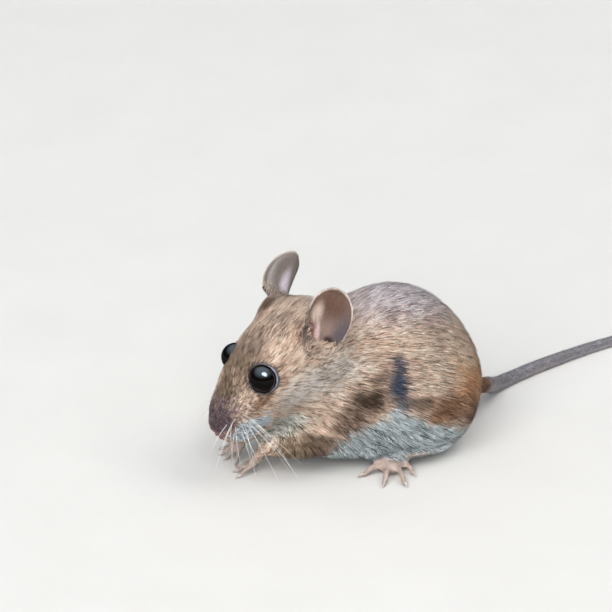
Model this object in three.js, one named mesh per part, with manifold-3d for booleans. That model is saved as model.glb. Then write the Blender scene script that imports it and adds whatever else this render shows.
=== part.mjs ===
// Long-tailed field mouse (Apodemus sylvaticus), adult, life size, crouched over its food.
// Millimetres. +X is the way the trunk faces, +Y the animal's left, +Z up.
// The solids reach to the tips of the coat. Feet, fingers and tail stand on the floor, Z = 0.
import * as THREE from "three";
import Module from "manifold-3d";
import { mergeVertices } from "three/addons/utils/BufferGeometryUtils.js";

const wasm = await Module();
wasm.setup();

// ---- driving dimensions ----
const trunkHeight = 13.4; // middle of the trunk above the floor
const noseReach = 24.0; // from between the ears to the tip of the nose
const eyeRadius = 2.4;
const earLength = 12.3;
const earWidth = 10.2; // measured round its cup
const earThickness = 0.64;
const tailRootRadius = 1.7;
const tailTipRadius = 0.5;
const partingGap = 0.3; // between neighbouring pieces
const fleshBlend = 1.5; // how softly the masses of flesh run into each other
const bellyClearance = 0.7; // between the fur of the belly and the floor
const clawReach = 1.1;

const LEFT = 1;
const RIGHT = -1;
const degrees = THREE.MathUtils.degToRad;
const mix = THREE.MathUtils.lerp;
const point = (x, y, z) => new THREE.Vector3(x, y, z);

// ---- frames ----
// A frame is a place and a turn: yaw about Z, then pitch (nose up is positive), then roll.
function frameAt(origin, yaw = 0, pitch = 0, roll = 0) {
  const turn = new THREE.Euler(degrees(roll), degrees(-pitch), degrees(yaw), "ZYX");
  return new THREE.Matrix4().compose(origin, new THREE.Quaternion().setFromEuler(turn), point(1, 1, 1));
}

const trunkFrame = frameAt(point(0, 0, trunkHeight));
// Between the roots of the ears, with its X axis towards the tip of the nose.
const headFrame = frameAt(point(16.2, 1.5, trunkHeight + 13.0), 8.7, -45.7, -3.6);
const onHead = (x, y, z) => point(x, y, z).applyMatrix4(headFrame);
const headWay = (x, y, z) => point(x, y, z).transformDirection(headFrame);

// ---- masses of flesh ----
// A mass is an ellipsoid in a frame: its middle, its half sizes and its own yaw, pitch and roll.
function mass(frame, middle, half, yaw = 0, pitch = 0, roll = 0) {
  const placed = frame.clone().multiply(frameAt(point(...middle), yaw, pitch, roll));
  return { half: point(...half), placed, inverse: placed.clone().invert() };
}

// The same mass on both sides of its frame.
function pair(frame, [x, y, z], half, yaw = 0, pitch = 0, roll = 0) {
  return [LEFT, RIGHT].map((side) => mass(frame, [x, side * y, z], half, side * yaw, pitch, side * roll));
}

const scaled = new THREE.Vector3();
function distanceTo(m, p) {
  scaled.copy(p).applyMatrix4(m.inverse).divide(m.half);
  const k0 = scaled.length();
  const k1 = scaled.divide(m.half).length();
  return k1 < 1e-9 ? -m.half.x : (k0 * (k0 - 1)) / k1;
}

const fleshMasses = [
  mass(trunkFrame, [-0.1, 0, 1.4], [13.8, 11.2, 15.3]), // belly and arched back
  mass(trunkFrame, [-6.1, 0, -1.8], [10.2, 10.6, 11.3]), // rump
  mass(trunkFrame, [8, 0, 0.5], [10.5, 9.0, 11.5]), // chest
  mass(trunkFrame, [14.8, 0, -5.9], [7.6, 6.6, 5.8]), // breast
  mass(trunkFrame, [19.6, 0, -6.4], [4.6, 3.3, 3.7]), // bib between the forelegs
  mass(trunkFrame, [12, 0.6, 5.6], [7.5, 7.2, 7.8], 0, -35), // nape
  ...pair(trunkFrame, [-3.6, 8.2, -3.0], [9.2, 4.6, 8.8], 4, 10), // haunches
  ...pair(trunkFrame, [2.6, 5.2, -7.4], [12.0, 5.0, 4.8], -4), // lower flanks
  ...pair(trunkFrame, [9.8, 6.0, -2.5], [7.0, 4.2, 8.0], -10, 20), // shoulders
  mass(headFrame, [1.8, 0, -3.0], [7.0, 7.3, 6.6]), // braincase
  mass(headFrame, [8.5, 0, 0.5], [7.2, 5.6, 5.4], 0, -8), // forehead
  mass(headFrame, [14.5, 0, -0.6], [7.6, 3.5, 3.9], 0, -4), // bridge of the nose
  ...pair(headFrame, [11.6, 2.9, 0.8], [4.6, 2.2, 2.8], -8), // rims of the orbits
  mass(headFrame, [19.3, 0, -1.0], [4.0, 2.9, 3.1]), // muzzle
  ...pair(headFrame, [18.2, 2.2, -2.0], [3.6, 2.0, 2.4], -12), // whisker pads
  ...pair(headFrame, [6.0, 4.8, -3.4], [6.8, 3.2, 4.4], -10), // cheeks
  mass(headFrame, [12.0, 0, -4.9], [7.5, 3.0, 2.7], 0, 6), // lower jaw
  ...pair(headFrame, [0.9, 6.6, 1.6], [1.9, 1.5, 1.9]), // ruffs before the ears
];

// The coat's surface is where this is zero, and it is negative inside.
function fleshField(p) {
  const sum = fleshMasses.reduce((total, m) => total + Math.exp(-distanceTo(m, p) / fleshBlend), 0);
  return Math.max(-fleshBlend * Math.log(sum), bellyClearance - p.z);
}

// A cut is a plane: what its normal points to lies ahead of it.
function cut(at, pitch, yaw) {
  return { at, normal: point(1, 0, 0).transformDirection(frameAt(point(0, 0, 0), yaw, pitch)) };
}

const aheadOf = (c, p) => c.normal.dot(p) - c.normal.dot(c.at);

// ---- shapes ----
// A closed surface round a middle: each vertex of a sphere goes out along its ray to where the field is zero.
// The sphere's pole points along the given axis, and its rings gather there.
function rayCastShape(middle, pole, sides, rings, field) {
  const shape = new THREE.SphereGeometry(1, sides, rings);
  const turn = new THREE.Quaternion().setFromUnitVectors(point(0, 1, 0), pole.clone().normalize());
  const position = shape.attributes.position;
  const way = new THREE.Vector3();
  const probe = new THREE.Vector3();
  const isInside = (reach) => field(probe.copy(middle).addScaledVector(way, reach)) < 0;
  const stride = 0.5;
  const halvings = 16;
  for (let i = 0; i < position.count; i++) {
    way.fromBufferAttribute(position, i).normalize().applyQuaternion(turn);
    let outside = stride;
    while (isInside(outside)) outside += stride;
    let inside = outside - stride;
    for (let step = 0; step < halvings; step++) {
      const half = (inside + outside) / 2;
      if (isInside(half)) inside = half;
      else outside = half;
    }
    probe.copy(middle).addScaledVector(way, inside);
    position.setXYZ(i, probe.x, probe.y, probe.z);
  }
  return shape;
}

// A tapered, round-ended limb along a smooth line. radiusAt(t) gives [half its width, half its height].
function limbShape(points, radiusAt, sides, lengths, capRings = 2, swell = 0) {
  const line = new THREE.CatmullRomCurve3(points, false, "centripetal");
  const barrel = 10; // length of the straight capsule that is bent
  const shape = new THREE.CapsuleGeometry(1, barrel, capRings, sides, lengths);
  const position = shape.attributes.position;
  const upright = point(0, 0, 1);
  for (let i = 0; i < position.count; i++) {
    const along = position.getY(i);
    const t = THREE.MathUtils.clamp(along / barrel + 0.5, 0, 1);
    const beyond = along - (t - 0.5) * barrel;
    const [across, upward] = radiusAt(t).map((radius) => radius + swell);
    const forward = line.getTangentAt(t);
    const aside = upright.clone().cross(forward).normalize();
    const over = forward.clone().cross(aside);
    const p = line.getPointAt(t);
    p.addScaledVector(forward, beyond * Math.min(across, upward));
    p.addScaledVector(aside, position.getX(i) * across);
    p.addScaledVector(over, position.getZ(i) * upward);
    position.setXYZ(i, p.x, p.y, p.z);
  }
  return shape;
}

// ---- booleans ----
function solidOf(shape) {
  const bare = new THREE.BufferGeometry();
  bare.setAttribute("position", shape.attributes.position);
  bare.setIndex(shape.index);
  const merged = mergeVertices(bare, 1e-4);
  const corners = Float32Array.from(merged.attributes.position.array);
  const solidWith = (triVerts) => {
    const mesh = new wasm.Mesh({ numProp: 3, vertProperties: corners, triVerts });
    return new wasm.Manifold(mesh);
  };
  const faces = Uint32Array.from(merged.index.array);
  const solid = solidWith(faces);
  return solid.volume() > 0 ? solid : solidWith(faces.reverse());
}

function shapeOf(solid) {
  const mesh = solid.getMesh();
  const shape = new THREE.BufferGeometry();
  shape.setAttribute("position", new THREE.BufferAttribute(Float32Array.from(mesh.vertProperties), 3));
  shape.setIndex(new THREE.BufferAttribute(Uint32Array.from(mesh.triVerts), 1));
  return shape;
}

const union = (solids) => solids.reduce((whole, one) => whole.add(one));
const largestOf = (solid) => solid.decompose().sort((a, b) => b.volume() - a.volume())[0];
const without = (solid, others) => others.reduce((rest, one) => rest.subtract(one), solid);
const standOnFloor = (solid) => solid.trimByPlane([0, 0, 1], 0);

function keepAhead(solid, c) {
  return solid.trimByPlane(c.normal.toArray(), c.normal.dot(c.at) + partingGap / 2);
}

function keepBehind(solid, c) {
  return solid.trimByPlane(c.normal.clone().negate().toArray(), partingGap / 2 - c.normal.dot(c.at));
}

// ---- head, neck and trunk ----
const headCut = cut(point(11.6, 1, 30), 24, 6); // from the nape down to the throat
const trunkCut = cut(point(4.4, 0, 31), 31, 3); // from the withers down to the breast
const castBeyond = 1.5; // a piece is cast this far past its cut, so that the cut is clean

function makeTrunk() {
  const field = (p) => Math.max(fleshField(p), aheadOf(trunkCut, p) - castBeyond);
  const middle = point(-1, 0, trunkHeight - 0.5);
  return keepBehind(solidOf(rayCastShape(middle, trunkCut.normal, 28, 18, field)), trunkCut);
}

function makeNeck() {
  const pastEnds = (p) => Math.max(aheadOf(headCut, p), -aheadOf(trunkCut, p)) - castBeyond;
  const field = (p) => Math.max(fleshField(p), pastEnds(p));
  const slab = solidOf(rayCastShape(point(12.2, 0.6, 19.5), headCut.normal, 24, 12, field));
  return keepAhead(keepBehind(slab, headCut), trunkCut);
}

function castHead(swell = 0) {
  const field = (p) => Math.max(fleshField(p) - swell, -aheadOf(headCut, p) - castBeyond);
  return solidOf(rayCastShape(onHead(4, 0, -1.5), headWay(1, 0, 0), 28, 22, field));
}

// ---- eyes, nose and ears ----
function makeEye(side, swell = 0) {
  const ball = new THREE.SphereGeometry(eyeRadius + swell, 12, 9);
  return solidOf(ball.translate(...onHead(11.55, side * 4.5, 2.8).toArray()));
}

// The bare pad at the tip of the muzzle.
function makeNose(swell = 0) {
  const pad = new THREE.SphereGeometry(1, 10, 7).scale(1.2 + swell, 1.25 + swell, 0.95 + swell);
  return solidOf(pad.applyMatrix4(headFrame.clone().multiply(frameAt(point(noseReach - 1.2, 0, -0.5)))));
}

// An ear stands from its root along its axis, and opens the way it faces.
const ears = {
  left: {
    root: onHead(2.3, 7.1, -1.75),
    axis: headWay(-0.8, 0.13, 0.585),
    facing: headWay(0.35, 0.75, 0.5),
    footLoss: 0.6, // share of the width lost at the foot of the leaf
  },
  right: {
    root: onHead(2.2, -6.7, -0.5),
    axis: headWay(-0.83, -0.56, 0),
    facing: headWay(0.3, -0.85, 0.3),
    footLoss: 0.35,
  },
};

// A rounded leaf of skin, cupped round its length. Its backing is the room just behind it.
function makeEar({ root, axis, facing, footLoss }, swell = 0, backing = 0) {
  const shape = new THREE.SphereGeometry(1, 18, 8);
  const position = shape.attributes.position;
  const aside = axis.clone().cross(facing).normalize();
  const open = aside.clone().cross(axis).normalize();
  const leanBack = 1.8; // how far the tip lies behind the root
  const rootSink = 1.4; // how far the foot of the leaf lies behind the hollow
  for (let i = 0; i < position.count; i++) {
    const along = (position.getZ(i) + 1) / 2;
    const rimness = Math.min(1, Math.hypot(position.getX(i), position.getZ(i)));
    const fullness = Math.sign(position.getY(i)) * Math.sqrt(1 - rimness ** 6);
    const behind = fullness < 0 ? backing : 0;
    const offset = backing > 0 ? -earThickness / 2 - limbGap : fullness * (earThickness / 2 + swell);
    const halfWidth = position.getX(i) * ((earWidth * (1.06 - footLoss * (1 - along) ** 3)) / 2 + swell);
    const cupRadius = mix(2.7, 6.0, along);
    const bend = halfWidth / cupRadius;
    const outward = open.clone().multiplyScalar(Math.cos(bend)).addScaledVector(aside, -Math.sin(bend));
    const p = root.clone();
    p.addScaledVector(axis, along * earLength);
    p.addScaledVector(aside, cupRadius * Math.sin(bend));
    p.addScaledVector(open, cupRadius * (1 - Math.cos(bend)));
    p.addScaledVector(open, -leanBack * along ** 2 - rootSink * (1 - along) ** 2);
    p.addScaledVector(outward, offset);
    p.addScaledVector(open, -behind);
    position.setXYZ(i, p.x, p.y, p.z);
  }
  return solidOf(shape);
}

// The hollow in front of the leaf, sunk into the side of the head.
function makeEarHollow(ear, swell = 0) {
  const { root, axis, facing } = ear;
  const aside = axis.clone().cross(facing).normalize();
  const open = aside.clone().cross(axis).normalize();
  const [across, high, deep] = [3.1, 3.8, 3.0].map((radius) => radius + swell);
  const above = 4.3; // how far the middle lies up the ear from its root
  const infront = 1.0;
  const backing = 5;
  const ball = new THREE.SphereGeometry(1, 9, 6).scale(across, high, deep);
  const at = root.clone().addScaledVector(axis, above).addScaledVector(open, infront);
  const whole = solidOf(ball.applyMatrix4(new THREE.Matrix4().makeBasis(aside, axis, open).setPosition(at)));
  return largestOf(whole.subtract(makeEar(ear, 0, backing)));
}

// ---- legs ----
// A digit arches from its knuckle down to the floor, where its claw carries on.
function makeDigit(frame, { knuckle, tip: [tipX, tipY], thick }, swell) {
  const start = point(...knuckle);
  const tip = point(tipX, tipY, thick * 0.5);
  const arch = start.clone().lerp(tip, 0.55).setZ(start.z * 0.55 + thick * 0.9);
  const toTip = tip.clone().sub(arch).setZ(0).normalize();
  const radiusAt = (t) => [mix(thick, thick * 0.8, t), mix(thick, thick * 0.75, t)];
  const line = [start, arch, tip].map((p) => p.clone().applyMatrix4(frame));
  const digit = solidOf(limbShape(line, radiusAt, 5, 2, 1, swell));
  if (swell > 0) return digit;
  const bend = tip.clone().addScaledVector(toTip, clawReach * 0.5).setZ(thick);
  const clawTip = tip.clone().addScaledVector(toTip, clawReach).setZ(0.2);
  const clawLine = [tip, bend, clawTip].map((p) => p.clone().applyMatrix4(frame));
  return digit.add(solidOf(limbShape(clawLine, (t) => [mix(0.34, 0.1, t), mix(0.42, 0.12, t)], 3, 1, 1)));
}

const mirrored = ({ knuckle: [x, y, z], tip, thick }, side) => ({
  knuckle: [x, side * y, z],
  tip: [tip[0], side * tip[1]],
  thick,
});

// On the sole of the foot, X runs from the heel to the knuckles. Inner digit first.
const hindDigits = [
  { knuckle: [9.6, -1.8, 1.2], tip: [11.2, -3.4], thick: 0.58 },
  { knuckle: [11.8, -1.3, 1.4], tip: [14.8, -3.6], thick: 0.66 },
  { knuckle: [12.3, 0.1, 1.5], tip: [16.4, 1.1], thick: 0.68 },
  { knuckle: [11.6, 1.3, 1.4], tip: [14.9, 4.3], thick: 0.66 },
  { knuckle: [9.2, 1.8, 1.2], tip: [10.6, 3.8], thick: 0.58 },
];

function makeHindFoot(side, { heel, toeingOut, knee }, swell = 0) {
  const frame = frameAt(heel, side * toeingOut);
  const sole = [point(0, 0, 1.5), point(4, 0, 1.2), point(12, 0, 1.35)].map((p) => p.applyMatrix4(frame));
  const ankle = sole[0].clone().add(point(0, 0, 0.4));
  const parts = [
    solidOf(limbShape(sole, (t) => [mix(1.4, 2.1, t), mix(1.5, 1.2, t)], 10, 4, 2, swell)),
    solidOf(limbShape([knee, ankle], (t) => [mix(2.4, 1.5, t), mix(2.4, 1.5, t)], 8, 2, 1, swell)),
    ...hindDigits.map((digit) => makeDigit(frame, mirrored(digit, side), swell)),
  ];
  return standOnFloor(union(parts));
}

// The hand hangs from the wrist, and its fingers are set down on the floor.
const foreDigits = [
  { knuckle: [0.2, -1.3, 1.6], tip: [1.4, -2.7], thick: 0.48 },
  { knuckle: [0.4, -0.45, 1.7], tip: [2.4, -1.0], thick: 0.5 },
  { knuckle: [0.4, 0.45, 1.7], tip: [2.5, 0.75], thick: 0.5 },
  { knuckle: [0.2, 1.3, 1.6], tip: [1.6, 2.5], thick: 0.48 },
];

function makeForeLeg(side, { shoulder, elbow, wrist, knuckles, turn }, swell = 0) {
  const frame = frameAt(knuckles.clone().setZ(0), side * turn);
  const armRadius = (t) => [mix(3.3, 1.5, t * t), mix(3.4, 1.4, t * t)];
  const parts = [
    solidOf(limbShape([shoulder, elbow, wrist], armRadius, 10, 5, 2, swell)),
    solidOf(limbShape([wrist, knuckles], (t) => [mix(1.4, 1.7, t), mix(1.3, 0.9, t)], 8, 2, 1, swell)),
    ...foreDigits.map((digit) => makeDigit(frame, mirrored(digit, side), swell)),
  ];
  return standOnFloor(union(parts));
}

const hindLegs = {
  left: { side: LEFT, heel: point(-4.6, 2.6, 0), toeingOut: 45, knee: point(-3.5, 8.5, 6) },
  right: { side: RIGHT, heel: point(-6.5, -4.6, 0), toeingOut: 28, knee: point(-3.5, -8.5, 6) },
};

const foreLegs = {
  left: {
    side: LEFT,
    shoulder: point(9.5, 5.6, 8.2),
    elbow: point(15.5, 7.8, 6.4),
    wrist: point(23.6, 3.9, 4.9),
    knuckles: point(25.3, 2.6, 1.9),
    turn: -34,
  },
  right: {
    side: RIGHT,
    shoulder: point(9.5, -5.6, 8.2),
    elbow: point(15.5, -7.6, 6.4),
    wrist: point(23.4, -5.2, 4.5),
    knuckles: point(25.3, -4.8, 1.95),
    turn: -4,
  },
};

// The part of the trunk's flesh that belongs to the thigh.
function thighCutter(side, swell = 0) {
  const thigh = mass(trunkFrame, [-5.0, side * 13.2, -4.6], [9.2, 8.0, 9.0], side * 4, 12);
  const ball = new THREE.SphereGeometry(1, 12, 8);
  ball.scale(thigh.half.x + swell, thigh.half.y + swell, thigh.half.z + swell);
  return solidOf(ball.applyMatrix4(thigh.placed));
}

// ---- tail ----
const tailLine = new THREE.CatmullRomCurve3(
  [
    point(-13, 0, 8.5),
    point(-19.5, -4.5, 6),
    point(-25, -13.2, 1.4),
    point(-34, -17.8, 1.05),
    point(-47.4, -22.7, 0.85),
    point(-59, -25, 0.72),
    point(-71, -22.5, 0.6),
    point(-79, -14.5, 0.48),
    point(-81, -5.5, 0.38),
  ],
  false,
  "centripetal",
);

function makeTail(swell = 0) {
  const radiusAt = (t) => {
    const radius = mix(tailRootRadius, tailTipRadius, t ** 0.85);
    return [radius, radius];
  };
  return standOnFloor(solidOf(limbShape(tailLine.points, radiusAt, 8, 19, 2, swell)));
}

// Where one length of the tail ends and the next begins, as a share of the whole line.
function tailCut(share) {
  return { at: tailLine.getPointAt(share), normal: tailLine.getTangentAt(share) };
}

// ---- assembly ----
const coat = { color: 0x8f6f50, roughness: 0.9 };
const bareSkin = { color: 0xb8978d, roughness: 0.6 };
const earSkin = { color: 0x6f564b, roughness: 0.7 };
const eyeGloss = { color: 0x050506, roughness: 0.05 };

const mouse = new THREE.Group();
function add(name, solid, look) {
  const mesh = new THREE.Mesh(shapeOf(solid), new THREE.MeshStandardMaterial({ ...look, metalness: 0 }));
  mesh.name = name;
  mouse.add(mesh);
}

const feet = {};
const arms = {};
const limbGap = 1.3 * partingGap; // the flats of the facets come closer than their corners
const roomForLimbs = [makeTail(limbGap)];
for (const [name, leg] of Object.entries(hindLegs)) {
  feet[name] = makeHindFoot(leg.side, leg);
  roomForLimbs.push(makeHindFoot(leg.side, leg, limbGap));
}
for (const [name, leg] of Object.entries(foreLegs)) {
  arms[name] = makeForeLeg(leg.side, leg);
  roomForLimbs.push(makeForeLeg(leg.side, leg, limbGap));
}

const wholeTrunk = makeTrunk();
const thighRoom = [LEFT, RIGHT].map((side) => thighCutter(side, limbGap));
add("trunk", without(wholeTrunk, [...thighRoom, ...roomForLimbs]), coat);
const roomForEars = Object.values(ears).map((ear) => makeEar(ear, limbGap));
add("neck", without(makeNeck(), [...roomForLimbs, ...roomForEars]), coat);
for (const [name, leg] of Object.entries(hindLegs)) {
  const thigh = without(wholeTrunk.intersect(thighCutter(leg.side)), [roomForLimbs[0]]);
  add(`leg_hind_${name}`, thigh.add(feet[name]), bareSkin);
}
for (const name of Object.keys(foreLegs)) add(`leg_front_${name}`, arms[name], coat);

const sockets = [LEFT, RIGHT].map((side) => makeEye(side, limbGap));
const hollows = Object.values(ears).map((ear) => makeEarHollow(ear));
const wholeHead = keepAhead(castHead(), headCut);
add("head", without(wholeHead, [...sockets, ...hollows, makeNose(limbGap), ...roomForLimbs]), coat);
add("nose", makeNose(), bareSkin);
add("eye_left", makeEye(LEFT), eyeGloss);
add("eye_right", makeEye(RIGHT), eyeGloss);

const roomForHead = castHead(partingGap);
for (const [name, ear] of Object.entries(ears)) {
  const roomInHollow = roomForHead.subtract(makeEarHollow(ear, -limbGap));
  add(`ear_${name}`, largestOf(makeEar(ear).subtract(roomInHollow)), earSkin);
}

const tail = makeTail();
const [firstCut, secondCut] = [0.33, 0.66].map(tailCut);
add("tail_root", keepBehind(keepBehind(tail, firstCut), secondCut), bareSkin);
add("tail_middle", keepBehind(keepAhead(tail, firstCut), secondCut), bareSkin);
add("tail_tip", keepAhead(tail, secondCut), bareSkin);

// The origin is the middle of the footprint, on the floor.
const middle = new THREE.Box3().setFromObject(mouse).getCenter(point(0, 0, 0));
for (const mesh of mouse.children) mesh.geometry.translate(-middle.x, -middle.y, 0);

export default mouse;
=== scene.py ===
import math
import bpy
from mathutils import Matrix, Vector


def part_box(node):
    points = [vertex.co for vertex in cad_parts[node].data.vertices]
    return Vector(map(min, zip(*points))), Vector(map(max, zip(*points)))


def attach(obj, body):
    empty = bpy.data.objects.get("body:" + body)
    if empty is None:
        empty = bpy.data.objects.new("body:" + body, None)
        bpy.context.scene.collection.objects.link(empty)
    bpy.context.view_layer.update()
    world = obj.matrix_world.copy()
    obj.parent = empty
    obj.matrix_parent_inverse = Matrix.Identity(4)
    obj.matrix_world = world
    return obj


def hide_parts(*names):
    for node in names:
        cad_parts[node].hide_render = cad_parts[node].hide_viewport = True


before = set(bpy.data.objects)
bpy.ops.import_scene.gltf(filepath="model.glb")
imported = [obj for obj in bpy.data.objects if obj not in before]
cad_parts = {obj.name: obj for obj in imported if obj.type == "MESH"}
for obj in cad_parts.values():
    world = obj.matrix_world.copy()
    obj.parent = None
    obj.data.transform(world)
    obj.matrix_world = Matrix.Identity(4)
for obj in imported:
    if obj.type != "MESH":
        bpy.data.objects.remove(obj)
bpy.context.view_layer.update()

from types import SimpleNamespace

import bpy
import numpy as np
from mathutils import Vector, kdtree

rng = np.random.default_rng(7)
mm = 0.001  # meshes are worked out in millimetres and handed to Blender in metres
sides = ("left", "right")


def unit(v):
    return v / np.maximum(np.linalg.norm(v, axis=-1, keepdims=True), 1e-9)


def smooth01(x):
    x = np.clip(x, 0, 1)
    return x * x * (3 - 2 * x)


def boxCentre(node):
    low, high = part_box(node)
    return (np.array(low) + np.array(high)) / 2 / mm


def treeOf(points):
    tree = kdtree.KDTree(len(points))
    for i, spot in enumerate(points):
        tree.insert(spot, i)
    tree.balance()
    return tree


def nearest(tree, points):
    return np.fromiter((tree.find(spot)[1] for spot in points), np.int64, len(points))


def roundAxes(axis, hint=(0.3, 0.2, 1.0)):
    # two ways that are square to an axis
    first = unit(np.cross(axis, hint))
    return first, np.cross(axis, first)


def gridTriangles(rows, columns, rowsMeet=False):
    # a grid of points whose columns run round, and its rows too if they meet
    i, j = np.meshgrid(np.arange(rows if rowsMeet else rows - 1), np.arange(columns), indexing="ij")
    a, b, k = i * columns, (i + 1) % rows * columns, (j + 1) % columns
    quads = np.stack([a + j, b + j, b + k, a + k], -1).reshape(-1, 4)
    return np.concatenate([quads[:, [0, 1, 2]], quads[:, [0, 2, 3]]])


def closedRings(rings, start, end):
    # rings of points joined in turn, with a fan to one more point at each end
    count, around = rings.shape[:2]
    points = np.concatenate([rings.reshape(-1, 3), [start, end]])
    c = np.arange(around)
    d = (c + 1) % around
    first, last = np.full(around, len(points) - 2), (count - 1) * around
    fans = [np.stack([first, d, c], 1), np.stack([first + 1, last + c, last + d], 1)]
    return points, np.concatenate([gridTriangles(count, around)[:, ::-1], *fans])


def joined(parts):
    offset, points, faces = 0, [], []
    for place, triangles in parts:
        points.append(place)
        faces.append(triangles + offset)
        offset += len(place)
    return np.concatenate(points), np.concatenate(faces)


def meshFrom(name, points, faces, smooth=True):
    mesh = bpy.data.meshes.new(name)
    mesh.vertices.add(len(points))
    mesh.vertices.foreach_set("co", (points * mm).astype(np.float32).ravel())
    mesh.loops.add(faces.size)
    mesh.loops.foreach_set("vertex_index", faces.astype(np.int32).ravel())
    mesh.polygons.add(len(faces))
    mesh.polygons.foreach_set("loop_start", np.arange(0, faces.size, faces.shape[1], dtype=np.int32))
    mesh.polygons.foreach_set("use_smooth", np.full(len(faces), smooth))
    mesh.update(calc_edges=True)
    return mesh


def addObject(name, data):
    thing = bpy.data.objects.new(name, data)
    bpy.context.scene.collection.objects.link(thing)
    return thing


def addPiece(name, mesh, material):
    piece = addObject(name, mesh)
    mesh.materials.append(material)
    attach(piece, "root")
    return piece


def store(mesh, name, values):
    kind, field = ("FLOAT", "value") if values.ndim == 1 else ("FLOAT_VECTOR", "vector")
    mesh.attributes.new(name, kind, "POINT").data.foreach_set(field, values.astype(np.float32).ravel())


# the tables below count in millimetres, from the floor under the trunk or from between the ears' roots
trunkMiddle = boxCentre("trunk")
bodyOrigin = np.array([trunkMiddle[0] - 2.02, trunkMiddle[1], 0])
eyeCentre = {side: boxCentre("eye_" + side) for side in sides}
eyesMiddle = (eyeCentre["left"] + eyeCentre["right"]) / 2
headY = unit(eyeCentre["left"] - eyeCentre["right"])
toNose = boxCentre("nose") - eyesMiddle
toNose = unit(toNose - headY * (toNose @ headY))
noseDrop = math.atan2(3.3, 11.25)
noseUp = np.cross(toNose, headY)
headX = math.cos(noseDrop) * toNose + math.sin(noseDrop) * noseUp
headZ = math.cos(noseDrop) * noseUp - math.sin(noseDrop) * toNose
headAxes = np.stack([headX, headY, headZ])  # rows: forward to the nose, left, up
headOrigin = eyesMiddle - headX * 11.55 - headZ * 2.8


def headPoint(*local):
    return headOrigin + np.array(local, float) @ headAxes


def bodyPoint(*local):
    return bodyOrigin + np.array(local, float)


viewSet = {
    "azimuth": 160,
    "elevation": 25,
    "distance": 1.5,
    "lens": 520.6,
    "sideways": -13.9,
    "upward": 11.36,
    "heartHeight": 13.4,
}


def viewAxes(azimuth, elevation):
    a, e = math.radians(azimuth), math.radians(elevation)
    back = np.array([math.sin(a) * math.cos(e), -math.cos(a) * math.cos(e), math.sin(e)])
    right = np.array([math.cos(a), math.sin(a), 0])
    return right, np.cross(back, right), back


viewRight, viewUp, viewBack = viewAxes(viewSet["azimuth"], viewSet["elevation"])


def aimFrom(thing, target, away, distance):
    thing.location = target + away * distance
    thing.rotation_mode = "QUATERNION"
    thing.rotation_quaternion = Vector(-away).to_track_quat("-Z", "Y")


def makeCamera():
    data = bpy.data.cameras.new("camera")
    data.lens = viewSet["lens"]
    data.sensor_width = 36
    data.clip_start = 0.1
    data.clip_end = 50
    camera = addObject("camera", data)
    aim = bodyPoint(0, 0, viewSet["heartHeight"]) * mm
    aim = aim + (viewRight * viewSet["sideways"] + viewUp * viewSet["upward"]) * mm
    aimFrom(camera, aim, viewBack, viewSet["distance"])
    bpy.context.scene.camera = camera


class Board:
    # a node tree, with short calls for the steps that its paints are made of
    def __init__(self, tree):
        self.nodes = tree.nodes
        self.links = tree.links

    def add(self, kind, **settings):
        node = self.nodes.new("ShaderNode" + kind)
        for name, value in settings.items():
            setattr(node, name, value)
        return node

    def feed(self, socket, value):
        if isinstance(value, bpy.types.NodeSocket):
            self.links.new(value, socket)
        elif socket.type == "RGBA":
            socket.default_value = (*value[:3], 1)
        elif socket.type == "VECTOR":
            socket.default_value = tuple(value)
        else:
            socket.default_value = value

    def feedAll(self, node, values):
        for name, value in values.items():
            self.feed(node.inputs[name], value)

    def feedRow(self, node, values):
        for socket, value in zip(node.inputs, values):
            self.feed(socket, value)

    def mix(self, factor, a, b, kind="RGBA", how="MIX"):
        node = self.add("Mix", data_type=kind, blend_type=how)
        first, second, result = {"FLOAT": (2, 3, 0), "VECTOR": (4, 5, 1), "RGBA": (6, 7, 2)}[kind]
        for number, value in ((0, factor), (first, a), (second, b)):
            self.feed(node.inputs[number], value)
        return node.outputs[result]

    def tint(self, a, b):
        return self.mix(1.0, a, b, how="MULTIPLY")

    def calc(self, how, *values):
        node = self.add("Math", operation=how)
        self.feedRow(node, values)
        return node.outputs[0]

    def vector(self, how, *values):
        node = self.add("VectorMath", operation=how)
        self.feedRow(node, values)
        return node.outputs["Value" if how in ("DOT_PRODUCT", "LENGTH") else "Vector"]

    def fade(self, value, low, high, atLow=0.0, atHigh=1.0, how="SMOOTHSTEP"):
        node = self.add("MapRange", interpolation_type=how)
        self.feedRow(node, (value, low, high, atLow, atHigh))
        return node.outputs["Result"]

    def ramp(self, value, stops):
        node = self.add("ValToRGB")
        self.feed(node.inputs["Fac"], value)
        elements = node.color_ramp.elements
        for element, (position, colour) in zip(elements, (stops[0], stops[-1])):
            element.position = position
            element.color = (*colour, 1)
        for position, colour in stops[1:-1]:
            elements.new(position).color = (*colour, 1)
        return node.outputs["Color"]

    def noise(self, scale, place=None, detail=2, output="Fac"):
        node = self.add("TexNoise")
        place = self.add("TexCoord").outputs["Object"] if place is None else place
        self.feedAll(node, {"Scale": scale, "Detail": detail, "Vector": place})
        return node.outputs[output]

    def stored(self, name, output="Fac"):
        return self.add("Attribute", attribute_name=name).outputs[output]

    def split(self, value, kind="XYZ"):
        node = self.add("Separate" + kind)
        self.feed(node.inputs[0], value)
        return list(node.outputs)

    def join(self, *parts):
        node = self.add("CombineXYZ")
        self.feedRow(node, parts)
        return node.outputs[0]

    def grey(self, value):
        return self.join(value, value, value)

    def use(self, group, **inputs):
        node = self.add("Group", node_tree=group)
        self.feedAll(node, inputs)
        return node.outputs


def newMaterial(name):
    material = bpy.data.materials.new(name)
    material.use_nodes = True
    board = Board(material.node_tree)
    return material, board, board.nodes["Principled BSDF"]


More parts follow.
